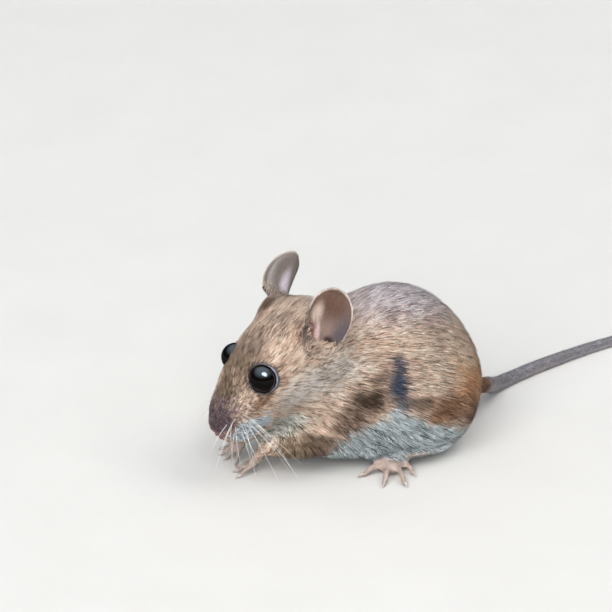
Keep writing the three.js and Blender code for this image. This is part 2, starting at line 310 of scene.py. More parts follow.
def newGroup(name, inputs, outputs):
    group = bpy.data.node_groups.new(name, "ShaderNodeTree")
    for way, rows in (("INPUT", inputs), ("OUTPUT", outputs)):
        for label, kind in rows.items():
            group.interface.new_socket(name=label, in_out=way, socket_type="NodeSocket" + kind)
    board = Board(group)
    return group, board, board.nodes.new("NodeGroupInput").outputs, board.nodes.new("NodeGroupOutput")


def fromHex(code):
    parts = [int(code[i:i + 2], 16) / 255 for i in (0, 2, 4)]
    return tuple(p / 12.92 if p <= 0.04045 else ((p + 0.055) / 1.055) ** 2.4 for p in parts)


def speckled(name, dark, light, scale, roughness):
    material, board, surface = newMaterial(name)
    colour = board.mix(board.noise(scale), dark, light)
    board.feedAll(surface, {"Base Color": colour, "Roughness": roughness})
    return material


floorLook = {
    "reach": 3.0,
    "colour": (0.74, 0.72, 0.69),
    "speckle": (0.69, 0.67, 0.64),
    "speckleScale": 60,
    "mirrored": (0.07, 0.06, 0.055),  # what shiny things see of it, so that the eyes stay dark below
    "roughness": 0.8,
    "specular": 0.2,
}


def makeFloor():
    reach = floorLook["reach"]
    corners = np.array([[-reach, -reach, 0], [reach, -reach, 0], [reach, reach, 0], [-reach, reach, 0]]) / mm
    floor = addObject("floor", meshFrom("floor", corners, np.array([[0, 1, 2, 3]]), False))
    material, board, surface = newMaterial("floorPlaster")
    plaster = board.mix(board.noise(floorLook["speckleScale"]), floorLook["colour"], floorLook["speckle"])
    glossyRay = board.add("LightPath").outputs["Is Glossy Ray"]
    board.feedAll(surface, {
        "Base Color": board.mix(glossyRay, plaster, floorLook["mirrored"]),
        "Roughness": floorLook["roughness"],
        "Specular IOR Level": floorLook["specular"],
    })
    floor.data.materials.append(material)


lightSet = {
    "skyColour": (0.88, 0.94, 1.0),
    "mirrorColour": (0.72, 0.86, 1.0),
    "skyStrength": 0.5,
    "seenColour": (0.74, 0.73, 0.71),
    "mirrorLow": 0.02,  # shiny things see a dark horizon, a soft zenith and bright openings
    "mirrorHigh": 3.0,
    "zenithFrom": 0.3,
    "opening": 14,
    "openingEdge": [(0.93, 0.975), (0.955, 0.985), (0.965, 0.99)],
    "openingLean": [(0.2, 0.6, 0.78), (0.36, 0.48, 0.8), (0.04, 0.62, 0.78)],
    "heart": (10, 0, 14),
    "lampDistance": 1.6,
    "keyPower": 6.8,
    "keySize": 0.8,
    "keyColour": (1.0, 0.975, 0.94),
    "keyLean": (0.52, 0.76, 0.38),  # to the right, up and back, as the camera sees it
    "fillPower": 31,
    "fillSize": 1.4,
    "fillColour": (1, 1, 1),
    "fillLean": (-0.2, 0.22, 0.95),
}


def leanWay(lean):
    return unit(lean[0] * viewRight + lean[1] * viewUp + lean[2] * viewBack)


def makeWorld():
    world = bpy.data.worlds.new("studio")
    bpy.context.scene.world = world
    world.use_nodes = True
    board = Board(world.node_tree)
    board.nodes.clear()
    way = board.add("TexCoord").outputs["Generated"]
    height = board.vector("DOT_PRODUCT", way, (0, 0, 1))
    mirror = board.fade(height, lightSet["zenithFrom"], 1.0, lightSet["mirrorLow"], lightSet["mirrorHigh"])
    for lean, (edge, core) in zip(lightSet["openingLean"], lightSet["openingEdge"]):
        toOpening = board.vector("DOT_PRODUCT", way, leanWay(lean))
        mirror = board.calc("ADD", mirror, board.fade(toOpening, edge, core, 0.0, lightSet["opening"]))
    shades = []
    for part, strength in (("sky", lightSet["skyStrength"]), ("mirror", mirror), ("seen", 1.0)):
        shade = board.add("Background")
        board.feedAll(shade, {"Color": lightSet[part + "Colour"], "Strength": strength})
        shades.append(shade.outputs[0])
    rays = board.add("LightPath").outputs
    result = shades[0]
    for ray, shade in (("Is Glossy Ray", shades[1]), ("Is Camera Ray", shades[2])):
        mix = board.add("MixShader")
        board.feedRow(mix, (rays[ray], result, shade))
        result = mix.outputs[0]
    board.feed(board.add("OutputWorld").inputs["Surface"], result)


def makeLamps():
    heart = bodyPoint(*lightSet["heart"]) * mm
    for part in ("key", "fill"):
        lamp = bpy.data.lights.new(part, "AREA")
        lamp.energy = lightSet[part + "Power"]
        lamp.size = lightSet[part + "Size"]
        lamp.color = lightSet[part + "Colour"]
        holder = addObject(part, lamp)
        holder.visible_glossy = False
        aimFrom(holder, heart, leanWay(lightSet[part + "Lean"]), lightSet["lampDistance"])


coatColours = {
    "ground": "dac3b3",
    # grizzled grey of the back, tinted bluish as a painted reflection of the sky on the hair
    "grizzledSkySheen": "cac9d8",
    "pale": "fff3e8",
    "sandy": "ffcba4",
    "tawny": "896649",
    "drab": "988c82",
    "brown": "6a5f55",
    "bistre": "6a4b30",
    "rufous": "a9774e",
    "russet": "57371f",
    "olive": "706350",
    "umber": "433528",
    "slate": "2f4157",
    "white": "e2f2ff",
    # the belly's white, painted greyer and bluer as shade on the underside
    "belly": "cddce0",
    "cream": "d2d3c6",
    "muzzle": "6f5f66",
}

# markings, with some painted shade and painted highlights among them, the same for skin and coat: each row
# is a soft patch over the colour under it frame, middle, half sizes in mm, colour, strength and inner edge;
# all but the left ones lie on both sides
coatMarksAndPaintedLight = [
    # the back's grizzled grey, partly the coat's own colour and partly a painted bluish sheen of the sky
    ("body", (-2, 0, 29), (22, 13, 8), "grizzledSkySheen", 0.85, 0.2),
    ("body", (-10.8, 8.5, 17), (6, 8, 8), "sandy", 0.85, 0.3),
    ("body", (-17, 4, 13), (6, 13, 13), "rufous", 0.85, 0.5),
    ("body", (-12, 9.5, 13.5), (7, 7, 8), "rufous", 0.75, 0.3),
    # a pale patch high on the rump: a painted highlight, the sheen where the light falls on it
    ("body", (-11.5, 7.5, 19.5), (4.5, 5, 5), "pale", 0.45, 0.3),
    ("body", (-18, 2, 7.5), (4, 5, 3), "umber", 0.8, 0.4),
    ("body", (-12.5, 10, 8), (6.5, 6, 5.5), "russet", 0.96, 0.3),
    ("body", (-5.5, 12.5, 11.4), (6.6, 5, 4.0), "tawny", 0.92, 0.35),
    # a faint pale patch on the upper flank: painted sheen
    ("body", (-7, 9, 21), (7, 6, 6), "pale", 0.12, 0.1),
    ("body", (12, 9.6, 20.5), (6, 4, 4.6), "pale", 0.8, 0.2),
    # a dark band from the elbow up over the shoulder: painted shade along the foreleg
    ("body", (11.5, 10.8, 10.5), (5.6, 4.5, 5.0), "umber", 0.8, 0.25),
    ("body", (8.6, 11, 14.6), (5.0, 4.5, 4.0), "umber", 0.95, 0.4),
    ("body", (5.6, 11.2, 17.6), (3.4, 4.5, 3.4), "umber", 0.85, 0.25),
    ("head", (1.5, 0, 5.2), (5.5, 6, 3.4), "drab", 0.85, 0.3),
    ("head", (9, 1.5, 6.4), (6.5, 5.5, 3.4), "brown", 0.85, 0.25),
    ("head", (13, 1.8, 5.0), (4.4, 4.2, 3.2), "olive", 0.8, 0.25),
    ("head", (17.3, 0.6, 4.4), (4.0, 3.8, 2.8), "olive", 0.9, 0.35),
    ("head", (9.5, 7.4, -3.2), (7.5, 4.5, 4.2), "pale", 1.0, 0.35),
    ("head", (5, 8.6, -6), (6, 4.5, 4.5), "pale", 0.6, 0.1),
    ("head", (15.0, 6.0, 0.9), (4.4, 2.8, 2.0), "bistre", 0.8, 0.25),
    ("head", (8.6, 6.6, 3.0), (2.6, 2.4, 1.8), "tawny", 0.6, 0.2),
    # a dark smudge just behind the eye: painted shade
    ("head", (9.6, 6.9, 0.6), (1.3, 2.0, 0.9), "umber", 0.6, 0.1),
    ("head", (2.2, 5.6, 4.0), (2.9, 2.2, 2.4), "bistre", 0.9, 0.35),
    ("head", (21.3, 1.2, 1.9), (5.0, 4.9, 3.5), "muzzle", 0.96, 0.4),
    ("head", (17.8, 5.6, -1.9), (2.6, 2.8, 1.4), "white", 0.98, 0.4),
    ("head", (19.6, 5.2, -1.2), (3.2, 3.0, 1.8), "white", 0.98, 0.5),
    ("head", (21.8, 4.0, -1.7), (2.5, 2.6, 1.4), "white", 0.95, 0.5),
    ("head", (19.2, 4.4, -3.0), (4.2, 3.0, 1.6), "white", 0.9, 0.5),
    ("head", (16, 0, -6.4), (9.5, 5.6, 3.8), "cream", 0.9, 0.5),
    ("body", (19.5, 3, 9), (4.5, 5.5, 4.2), "cream", 0.8, 0.4),
    ("body", (20.2, 7, 10.8), (4.2, 3, 2.4), "cream", 0.85, 0.3),
]
# the forelegs' olive-brown fur, darkened further as painted shade where the head and body shade them
armMarksAndShade = [
    ("body", (18.4, 7.2, 5.8), (6.5, 4.2, 3.4), "olive", 0.9, 0.45),
    ("body", (15.5, 9.4, 7), (5, 4, 3.2), "umber", 0.7, 0.2),
]
leftMarks = [
    ("body", (2.7, 11, 19.6), (1.9, 6, 3.4), "slate", 0.92, 0.3),
    ("body", (3.1, 12, 17.6), (2.3, 6, 3.0), "slate", 0.9, 0.3),
    ("body", (3.1, 12, 16.0), (2.8, 6, 3.8), "slate", 0.97, 0.3),
    ("body", (2.2, 12.6, 13.6), (2.6, 4, 1.9), "slate", 0.8, 0.3),
    ("body", (-0.6, 12.8, 13.4), (3.6, 4, 1.8), "umber", 0.85, 0.3),
    ("body", (5.8, 10.4, 20.5), (2.2, 3, 0.7), "slate", 0.6, 0.2),
    ("head", (6.6, 9, -4.9), (1.1, 2, 0.6), "umber", 0.8, 0.2),
    ("head", (1.1, 9.4, -5.3), (1.5, 2, 0.9), "slate", 0.65, 0.2),
]
# height of the white underside at places along the body, from behind the rump to the throat
bellyLine = [(-20, 3), (-13, 4.2), (-8.5, 6.9), (-4, 9.0), (-0.8, 9.9), (1.2, 11.6), (2.9, 13.0),
             (4.2, 12.0), (6.8, 10.5), (10.3, 8.6), (14.2, 5.8), (17, 3.6), (24, 0)]
markEdge = {
    "bellySoft": 1.1,
    "wobble": 3.4,  # mm by which the edges of the marks wander, and how closely they do
    "wobbleScale": 0.55,
}


def softPatch(board, spot, middle, reach, inner):
    away = board.vector("DIVIDE", board.vector("SUBTRACT", spot, middle), reach)
    return board.fade(board.vector("LENGTH", away), inner, 1.0, 1.0, 0.0)


def localPlaces(board, place):
    fromHead = board.vector("SUBTRACT", place, headOrigin)
    turned = board.join(*[board.vector("DOT_PRODUCT", fromHead, axis) for axis in headAxes])
    return {"body": board.vector("SUBTRACT", place, bodyOrigin), "head": turned}


def undersideShare(board, place):
    x, y, z = board.split(place)
    start, end, scale = bellyLine[0][0], bellyLine[-1][0], 20.0
    stops = [((at - start) / (end - start), [height / scale] * 3) for at, height in bellyLine]
    line = board.ramp(board.fade(x, start, end, how="LINEAR"), stops)
    above = board.calc("SUBTRACT", z, board.calc("MULTIPLY", line, scale))
    return board.fade(above, -markEdge["bellySoft"], markEdge["bellySoft"], 1.0, 0.0)


def makeMarkingsAndPaintedLight():
    group, board, source, sink = newGroup(
        "coatMarkingsAndPaintedLight", {"Place": "Vector"}, {"Colour": "Color", "White": "Float"})
    wobble = board.noise(markEdge["wobbleScale"], source["Place"], output="Color")
    wobble = board.vector("SUBTRACT", wobble, [0.5] * 3)
    place = board.vector("ADD", source["Place"], board.vector("MULTIPLY", wobble, [markEdge["wobble"]] * 3))
    still = localPlaces(board, source["Place"])
    local = localPlaces(board, place)
    folded = {}
    for name, vector in local.items():
        x, y, z = board.split(vector)
        folded[name] = board.join(x, board.calc("ABSOLUTE", y), z)

    def patches(rows, places):
        for where, middle, reach, paint, strength, inner in rows:
            amount = softPatch(board, places[where], middle, reach, inner)
            yield board.calc("MULTIPLY", amount, strength), paint

    layers = [*patches(coatMarksAndPaintedLight, folded), (undersideShare(board, local["body"]), "belly"),
              *patches(armMarksAndShade, folded), *patches(leftMarks, still)]
    colour, white = fromHex(coatColours["ground"]), 0.0
    for amount, paint in layers:
        colour = board.mix(amount, colour, fromHex(coatColours[paint]))
        white = board.mix(amount, white, float(paint in ("white", "belly", "cream")), "FLOAT")
    board.feedAll(sink, {"Colour": colour, "White": white})
    return group


hairLook = {
    "gain": 1.22,
    "ramp": [  # share of the hairs and their tint: dark guard hairs, banded ones, pale tips
        (0.0, (0.17, 0.145, 0.14)),
        (0.14, (0.38, 0.33, 0.3)),
        (0.3, (0.88, 0.76, 0.67)),
        (0.6, (1.1, 1.0, 0.93)),
        (1.0, (1.72, 1.64, 1.56)),
    ],
    "whiteSpread": (-0.1, 2.1),
    "brightest": 0.96,
    "keepHue": 0.5,  # share of the pale tips' own hue that is kept
    "earTint": 0.7,
    # the hairs' dark bases, which also stand as painted shade between the hairs near the skin
    "rootShadeColour": (0.115, 0.10, 0.10),
    "rootReach": 0.22,
    "downRoot": (0.5, 0.75),  # on bare skin a hair is painted this much darker over the first part of its length, as shade near the skin
    "soften": 0.74,
    "roughness": 0.6,
    "sheen": 0.12,
    "specular": 0.22,
}


def makeHairGroup():
    # splits the ground colour into single hairs: dark guard hairs, rufous and pale tips, and dark roots, the
    # hairs' slate bases with painted shade near the skin
    inputs = {"Colour": "Color", "White": "Float", "Tone": "Float", "Along": "Float"}
    group, board, source, sink = newGroup("agoutiHair", inputs, {"Colour": "Color"})
    tinted = board.tint(source["Colour"], board.ramp(source["Tone"], hairLook["ramp"]))
    evenTone = board.fade(source["Tone"], 0.0, 1.0, *hairLook["whiteSpread"], "LINEAR")
    even = board.tint(source["Colour"], board.grey(evenTone))
    banded = board.tint(board.mix(source["White"], tinted, even), [hairLook["gain"]] * 3)
    rootShare = board.fade(source["Along"], 0.0, hairLook["rootReach"], 1.0, 0.0)
    hair = board.mix(rootShare, banded, hairLook["rootShadeColour"])
    # pale tips are held below white, half by clipping and half by dimming, which keeps their hue
    peak = hairLook["brightest"]
    for channel in board.split(hair, "Color"):
        peak = board.calc("MAXIMUM", channel, peak)
    dimmed = board.tint(hair, board.grey(board.calc("DIVIDE", hairLook["brightest"], peak)))
    clipped = board.vector("MINIMUM", hair, [hairLook["brightest"]] * 3)
    board.feedAll(sink, {"Colour": board.mix(hairLook["keepHue"], clipped, dimmed)})
    return group


def softNormal(board):
    # a hair scatters light round itself: it is shaded partly as a tuft, partly as the coat it lies in
    own = board.add("NewGeometry").outputs["Normal"]
    soft = board.mix(hairLook["soften"], own, board.stored("skinFacing", "Vector"), "VECTOR")
    return board.vector("NORMALIZE", soft)


def makeCoatMaterial(markingsAndPaintedLight, hairs):
    material, board, surface = newMaterial("coatHair")
    marks = board.use(markingsAndPaintedLight, Place=board.stored("markPlace", "Vector"))
    hair = board.use(hairs, Colour=marks["Colour"], White=marks["White"],
                     Tone=board.stored("hairTone"), Along=board.stored("hairAlong"))
    board.feedAll(surface, {
        "Base Color": hair["Colour"],
        "Normal": softNormal(board),
        "Roughness": hairLook["roughness"],
        "Sheen Weight": hairLook["sheen"],
        "Specular IOR Level": hairLook["specular"],
    })
    return material


def makeDownMaterial(name, dark, light, earPaint=None):
    # short hair on bare skin: ears, tail and feet; the ears' is tinted by the ear under it
    material, board, surface = newMaterial(name)
    colour = board.mix(board.stored("hairTone"), fromHex(dark), fromHex(light))
    if earPaint:
        ear = board.use(earPaint, Spot=board.stored("earSpot", "Vector"), Rim=board.stored("earRim"))
        colour = board.mix(hairLook["earTint"], colour, ear["Colour"])
    # painted shade: each hair is darker near the skin
    reach, dimmest = hairLook["downRoot"]
    colour = board.tint(colour, board.grey(board.fade(board.stored("hairAlong"), 0.0, reach, dimmest, 1.0)))
    board.feedAll(surface, {
        "Base Color": colour,
        "Normal": softNormal(board),
        "Roughness": hairLook["roughness"],
    })
    return material


bareLook = {
    "foot": "b09a8f",
    "tailTop": "696468",
    "tailUnder": "a8a2a9",
    "nose": "8a6465",
    "lid": "2b2729",
    "lidPaintedGlint": "8b91a0",  # a painted glint: a pale bluish reflection painted on the wet lower edge of the lid
    "ear": "8b756b",
    "earRim": "d8cbc0",
    "roughness": 0.5,
    "wetRoughness": 0.28,
    "specular": 0.35,
    # the skin under the coat takes the coat's colours at about a third: the darker base of the coat and
    # painted shade between the hairs
    "underCoatShade": (0.30, 0.30, 0.32),
    "tailRings": 0.52,  # mm from ring to ring
    "ringShade": 0.72,
    "ringRelief": 0.6,
    "grainScale": 3.0,
    "grain": (0.84, 1.12),
    "bump": (0.5, 0.0001),  # strength, and distance in metres
}
# the ear's colours, with some painted shade and a painted highlight among them: share of its length, place
# across (-1 front margin, 1 rear), and which face:
# 1 or 2 is the inside of the left or right ear, -1 or -2 the outside
earMarksAndPaintedLight = [
    ((0.78, 0.0, 1.5), (0.45, 1.2, 1.5), "5c4033", 0.9, 0.4),
    ((0.35, 0.7, 1.5), (0.5, 0.7, 1.5), "5d5358", 0.95, 0.4),
    ((0.6, -0.5, 1.5), (0.24, 0.34, 1.5), "cdb8a8", 0.85, 0.3),
    # dark red before the pink ridge: the pink skin, darkened as painted shade in the fold
    ((0.3, -0.7, 1.5), (0.32, 0.2, 1.5), "7a4740", 0.9, 0.4),
    ((0.28, -0.42, 1.5), (0.3, 0.2, 1.5), "d9b8b5", 0.95, 0.4),
    # near black low in the hollow: painted shade in the ear's canal
    ((0.19, 0.2, 1.5), (0.13, 0.4, 1.5), "2a1c1b", 0.95, 0.4),
    ((0.5, 0, -1.5), (1.2, 1.6, 1.5), "80736d", 0.9, 0.7),
    ((0.3, -0.8, -1), (0.6, 0.5, 0.6), "6b533f", 0.8, 0.3),
    # a pale lilac strip down the far ear's back: a painted highlight where its rounded back faces the light
    ((0.42, 0.17, -2), (0.4, 0.34, 0.6), "d8ccd6", 0.95, 0.3),
    ((0.5, -0.15, -2), (0.5, 0.14, 0.6), "a2958b", 0.8, 0.2),
    ((0.5, 0.75, -2), (0.6, 0.5, 0.6), "62574f", 0.85, 0.3),
]


def makeEarGroup():
    group, board, source, sink = newGroup(
        "earPaint", {"Spot": "Vector", "Rim": "Float"}, {"Colour": "Color"})
    ear = fromHex(bareLook["ear"])
    for middle, reach, paint, strength, inner in earMarksAndPaintedLight:
        amount = softPatch(board, source["Spot"], middle, reach, inner)
        ear = board.mix(board.calc("MULTIPLY", amount, strength), ear, fromHex(paint))
    board.feedAll(sink, {"Colour": board.mix(source["Rim"], ear, fromHex(bareLook["earRim"]))})
    return group


def makeSkinMaterial(markingsAndPaintedLight, earPaint):
    material, board, surface = newMaterial("mouseSkin")
    hexes = {part: fromHex(code) for part, code in bareLook.items() if isinstance(code, str)}
    place = board.vector("MULTIPLY", board.add("TexCoord").outputs["Object"], [1 / mm] * 3)
    # the skin under the coat is painted darker than the coat: the coat's darker base and painted shade
    # between the hairs
    colour = board.tint(board.use(markingsAndPaintedLight, Place=place)["Colour"], bareLook["underCoatShade"])
    fine = board.noise(bareLook["grainScale"], place, 6)
    grain = board.grey(board.fade(fine, 0.3, 0.7, *bareLook["grain"], "LINEAR"))
    ear = board.use(earPaint, Spot=board.stored("earSpot", "Vector"), Rim=board.stored("earRim"))
    tail = board.mix(board.stored("tailSide"), hexes["tailUnder"], hexes["tailTop"])
    turns = board.calc("MULTIPLY", board.stored("tailWay"), 2 * math.pi / bareLook["tailRings"])
    rings = board.calc("SINE", turns)
    tail = board.tint(tail, board.grey(board.fade(rings, -1.0, 0.2, bareLook["ringShade"], 1.0)))
    # the lid is dark, with a painted glint of pale reflection on its lower edge
    lid = board.mix(board.stored("lidPaintedGlint"), hexes["lid"], hexes["lidPaintedGlint"])
    paints = {"ear": ear["Colour"], "tail": tail, "foot": hexes["foot"], "nose": hexes["nose"], "lid": lid}
    for part, paint in paints.items():
        colour = board.mix(board.stored(part + "Part"), colour, board.tint(paint, grain))
    wet = board.calc("MAXIMUM", board.stored("lidPart"), board.stored("nosePart"))
    onTail = board.calc("MULTIPLY", rings, board.stored("tailPart"))
    relief = board.calc("ADD", board.calc("MULTIPLY", onTail, bareLook["ringRelief"]), fine)
    bump = board.add("Bump")
    strength, distance = bareLook["bump"]
    board.feedAll(bump, {"Strength": strength, "Distance": distance, "Height": relief})
    board.feedAll(surface, {
        "Base Color": colour,
        "Roughness": board.fade(wet, 0.0, 1.0, bareLook["roughness"], bareLook["wetRoughness"], "LINEAR"),
        "Specular IOR Level": bareLook["specular"],
        "Normal": bump.outputs["Normal"],
    })
    return material


skinSet = {
    "voxel": 0.22,
    "bridge": 0.27,  # how far the flesh nodes are swollen to meet
    "spotsPerArea": 5,
    "settle": 26,
    "fineSettle": 3,
    "keepShare": 0.45,
}
fleshNodes = [name for name in sorted(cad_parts) if not name.startswith("eye_")]


def weldedNode(name):
    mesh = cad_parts[name].data
    points = np.empty(len(mesh.vertices) * 3, np.float32)
    mesh.vertices.foreach_get("co", points)
    mesh.calc_loop_triangles()
    corners = np.empty(len(mesh.loop_triangles) * 3, np.int32)
    mesh.loop_triangles.foreach_get("vertices", corners)
    points = points.reshape(-1, 3).astype(float) / mm
    first, welded = np.unique(np.round(points, 3), axis=0, return_index=True, return_inverse=True)[1:]
    triangles = welded.reshape(-1)[corners].reshape(-1, 3)
    whole = (triangles != triangles[:, [1, 2, 0]]).all(1)
    return points[first], triangles[whole]


def facing(points, faces):
    # a triangle's sides or a quad's diagonals give its normal, as long as twice its area
    a, b, c, d = faces[:, [0, 1, 0, 2] if faces.shape[1] == 3 else [0, 2, 1, 3]].T
    return np.cross(points[b] - points[a], points[d] - points[c])


def surfaceNormals(points, faces):
    across = facing(points, faces)
    total = np.zeros_like(points)
    for corner in faces.T:
        for axis in range(3):
            total[:, axis] += np.bincount(corner, across[:, axis], len(points))
    return unit(total)


eyeSet = {
    "radius": 2.4,
    "axis": (0.12, 0.86, 0.5),
    "lidThickness": 0.24,
    "lidSink": 0.1,
    "lidEdge": 2.7,  # how far from the eye's axis the lid ends, and how softly
    "lidSoft": 0.2,
    "lidBack": -1.6,
    # the painted glint on the lower lid reaches this far from the eye's axis, on this side of it
    "gleamEdge": 2.36,
    "gleamWay": (-0.6, 0, -0.8),
    "clearance": 0.03,
}
eyeAxis = {side: unit((np.array(eyeSet["axis"]) * [1, 1 if side == "left" else -1, 1]) @ headAxes)
           for side in sides}


def lidRing(side, around=40, section=10):
    first, second = roundAxes(eyeAxis[side])
    a = np.linspace(0, 2 * math.pi, around, endpoint=False)[:, None, None]
    b = np.linspace(0, 2 * math.pi, section, endpoint=False)[None, :, None]
    out = eyeSet["radius"] + eyeSet["lidThickness"] * np.cos(b)
    points = eyeCentre[side] + eyeAxis[side] * (eyeSet["lidThickness"] * np.sin(b) - eyeSet["lidSink"])
    points = points + out * (np.cos(a) * first + np.sin(a) * second)
    return points.reshape(-1, 3), gridTriangles(around, section, True)


def draftSurface():
    drafts, sources, labels = [], [], []
    for number, name in enumerate(fleshNodes):
        place, triangles = weldedNode(name)
        swollen = place + surfaceNormals(place, triangles) * skinSet["bridge"]
        drafts.append(earDraft(name[4:]) if name.startswith("ear_") else (swollen, triangles))
        # scattered points remember which node each part of the skin came from
        area = np.linalg.norm(facing(place, triangles), axis=1) / 2
        repeats = np.ceil(area * skinSet["spotsPerArea"]).astype(int)
        picked = np.repeat(np.arange(len(triangles)), repeats)
        share = rng.dirichlet((1, 1, 1), len(picked))
        sources.append((place[triangles][picked] * share[..., None]).sum(1))
        labels.append(np.full(len(picked), number))
    drafts += [lidRing(side) for side in sides]
    return *joined(drafts), np.concatenate(sources), np.concatenate(labels)


def remeshed(points, faces):
    draft = addObject("draft", meshFrom("draft", points / mm, faces))
    remesh = draft.modifiers.new("remesh", "REMESH")
    remesh.mode = "VOXEL"
    remesh.voxel_size = skinSet["voxel"]
    seen = draft.evaluated_get(bpy.context.evaluated_depsgraph_get()).to_mesh()
    place = np.empty(len(seen.vertices) * 3, np.float32)
    seen.vertices.foreach_get("co", place)
    corners = np.empty(len(seen.loops), np.int32)
    seen.loops.foreach_get("vertex_index", corners)
    bpy.data.objects.remove(draft)
    return place.reshape(-1, 3).astype(float), corners.reshape(-1, 4)


def edgePairs(quads):
    return quads.ravel(), quads[:, [1, 2, 3, 0]].ravel()


def largestShell(points, quads):
    # closed pockets inside the body are dropped
    label = np.arange(len(points))
    a, b = edgePairs(quads)
    while True:
        low = np.minimum(label[a], label[b])
        new = label.copy()
        np.minimum.at(new, a, low)
        np.minimum.at(new, b, low)
        new = new[new]
        if (new == label).all():
            break
        label = new
    keep = label == np.bincount(label).argmax()
    index = np.cumsum(keep) - 1
    return points[keep], index[quads[keep[quads[:, 0]]]]


def relax(values, skin, rounds, weight=1.0):
    # averages values over the neighbours along the edges
    flat = values.ndim == 1
    values = values[:, None] if flat else values
    weight = weight if np.isscalar(weight) else weight[:, None]
    for _ in range(rounds):
        total = np.empty_like(values)
        for axis in range(values.shape[1]):
            column = values[:, axis]
            total[:, axis] = np.bincount(skin.a, column[skin.b], len(values))
            total[:, axis] += np.bincount(skin.b, column[skin.a], len(values))
        values = values + weight * 0.6 * (total / skin.degree[:, None] - values)
    return values[:, 0] if flat else values


def spread(places, rows, softness=2.2):
    # inverse-distance mean of the listed strokes: lie, depth and length of the hair
    spots = np.array([row[0] for row in rows], float)
    values = np.array([(*row[1], *row[2:]) for row in rows], float)
    batch = 20000
    result = np.empty((len(places), values.shape[1]))
    for start in range(0, len(places), batch):
        part = places[start:start + batch]
        distance = ((part[:, None, :] - spots[None]) ** 2).sum(-1)
        weights = 1 / (distance + softness) ** 2
        result[start:start + batch] = weights @ values / weights.sum(1, keepdims=True)
    return result


earSet = {
    "length": 12.3,
    "width": 10.2,
    "spread": 1.06,  # share of the width at the tip, and how much of it is lost at the foot
    "footLoss": {"left": 0.6, "right": 0.0},
    "cup": (2.7, 6.0),  # radius of the leaf's hollow at the root and at the tip
    "lean": 1.8,
    "sink": 1.4,
    "half": 0.29,  # half the leaf's thickness, in its middle and at the rim
    "rimHalf": 0.15,
    "draftHalf": 0.32,
    "thinFrom": 0.72,  # how near the rim the leaf thins and curls
    "curlFrom": 0.78,
    "curl": 0.5,
    "join": 60,  # rounds of settling where the leaf runs into the hollow
    "hollow": ((0, 4.3, 1.0), (3.1, 3.8, 3.0)),  # middle and half sizes: across, up the leaf and out from it
    "hairedBelow": -2.5,  # the foot of the hollow is haired, up to this far from its middle
    "folds": [(0.3, -0.56, 0.32, 0.13, 0.55), (0.12, -0.3, 0.13, 0.14, 0.45), (0.42, 0.15, 0.2, 0.12, 0.25)],
    "left": ((2.3, 7.1, -1.75), (-0.8, 0.13, 0.585), (0.35, 0.75, 0.5)),
    "right": ((2.2, -6.7, -0.5), (-0.83, -0.56, 0), (0.3, -0.85, 0.3)),
}


def earAxes(side):
    # across the ear, up it and out of its hollow
    root, axis, facing = earSet[side]
    axis = unit(np.array(axis) @ headAxes)
    aside = unit(np.cross(axis, unit(np.array(facing) @ headAxes)))
    return aside, axis, unit(np.cross(aside, axis))


def earRoot(side):
    return headPoint(*earSet[side][0])


def earLeaf(side, across, along):
    # the leaf's middle surface, the way its hollow faces there, and how near the rim it is
    aside, axis, hollow = earAxes(side)
    lift = 2 * along - 1
    x = across * np.sqrt(1 - lift ** 2)
    wide = earSet["spread"] - earSet["footLoss"][side] * (1 - along) ** 3
    cup = earSet["cup"][0] + (earSet["cup"][1] - earSet["cup"][0]) * along
    bend = x * earSet["width"] / 2 * wide / cup
    rimness = np.hypot(x, lift)
    back = -earSet["lean"] * along ** 2 - earSet["sink"] * (1 - along) ** 2 + cup * (1 - np.cos(bend))
    place = earRoot(side) + axis * (along * earSet["length"])[:, None]
    place = place + aside * (cup * np.sin(bend))[:, None] + hollow * back[:, None]
    normal = hollow * np.cos(bend)[:, None] - aside * np.sin(bend)[:, None]
    return place, normal, rimness


def leafGrid(acrossReach, columns, alongReach, rows):
    grid = np.meshgrid(np.linspace(-acrossReach, acrossReach, columns), np.linspace(*alongReach, rows))
    return [part.ravel() for part in grid]


def earDraft(side):
    # the whole leaf as a closed mesh, swollen like the other flesh
    rows, columns = 44, 72
    theta = np.repeat(np.linspace(0.03, math.pi - 0.03, rows), columns)
    phi = np.tile(np.linspace(0, 2 * math.pi, columns, endpoint=False), rows)
    place, normal, rimness = earLeaf(side, np.cos(phi), (np.cos(theta) + 1) / 2)
    full = np.sign(np.sin(phi)) * np.sqrt(np.maximum(1 - rimness ** 6, 0))
    points = place + normal * (full * (earSet["draftHalf"] + skinSet["bridge"]))[:, None]
    points = points + unit(points - points.mean(0)) * (rimness ** 6 * skinSet["bridge"])[:, None]
    fan = np.arange(1, columns - 1)
    cap = np.stack([np.zeros_like(fan), fan, fan + 1], 1)
    caps = [cap, cap[:, ::-1] + (rows - 1) * columns]
    return points, np.concatenate([gridTriangles(rows, columns), *caps])


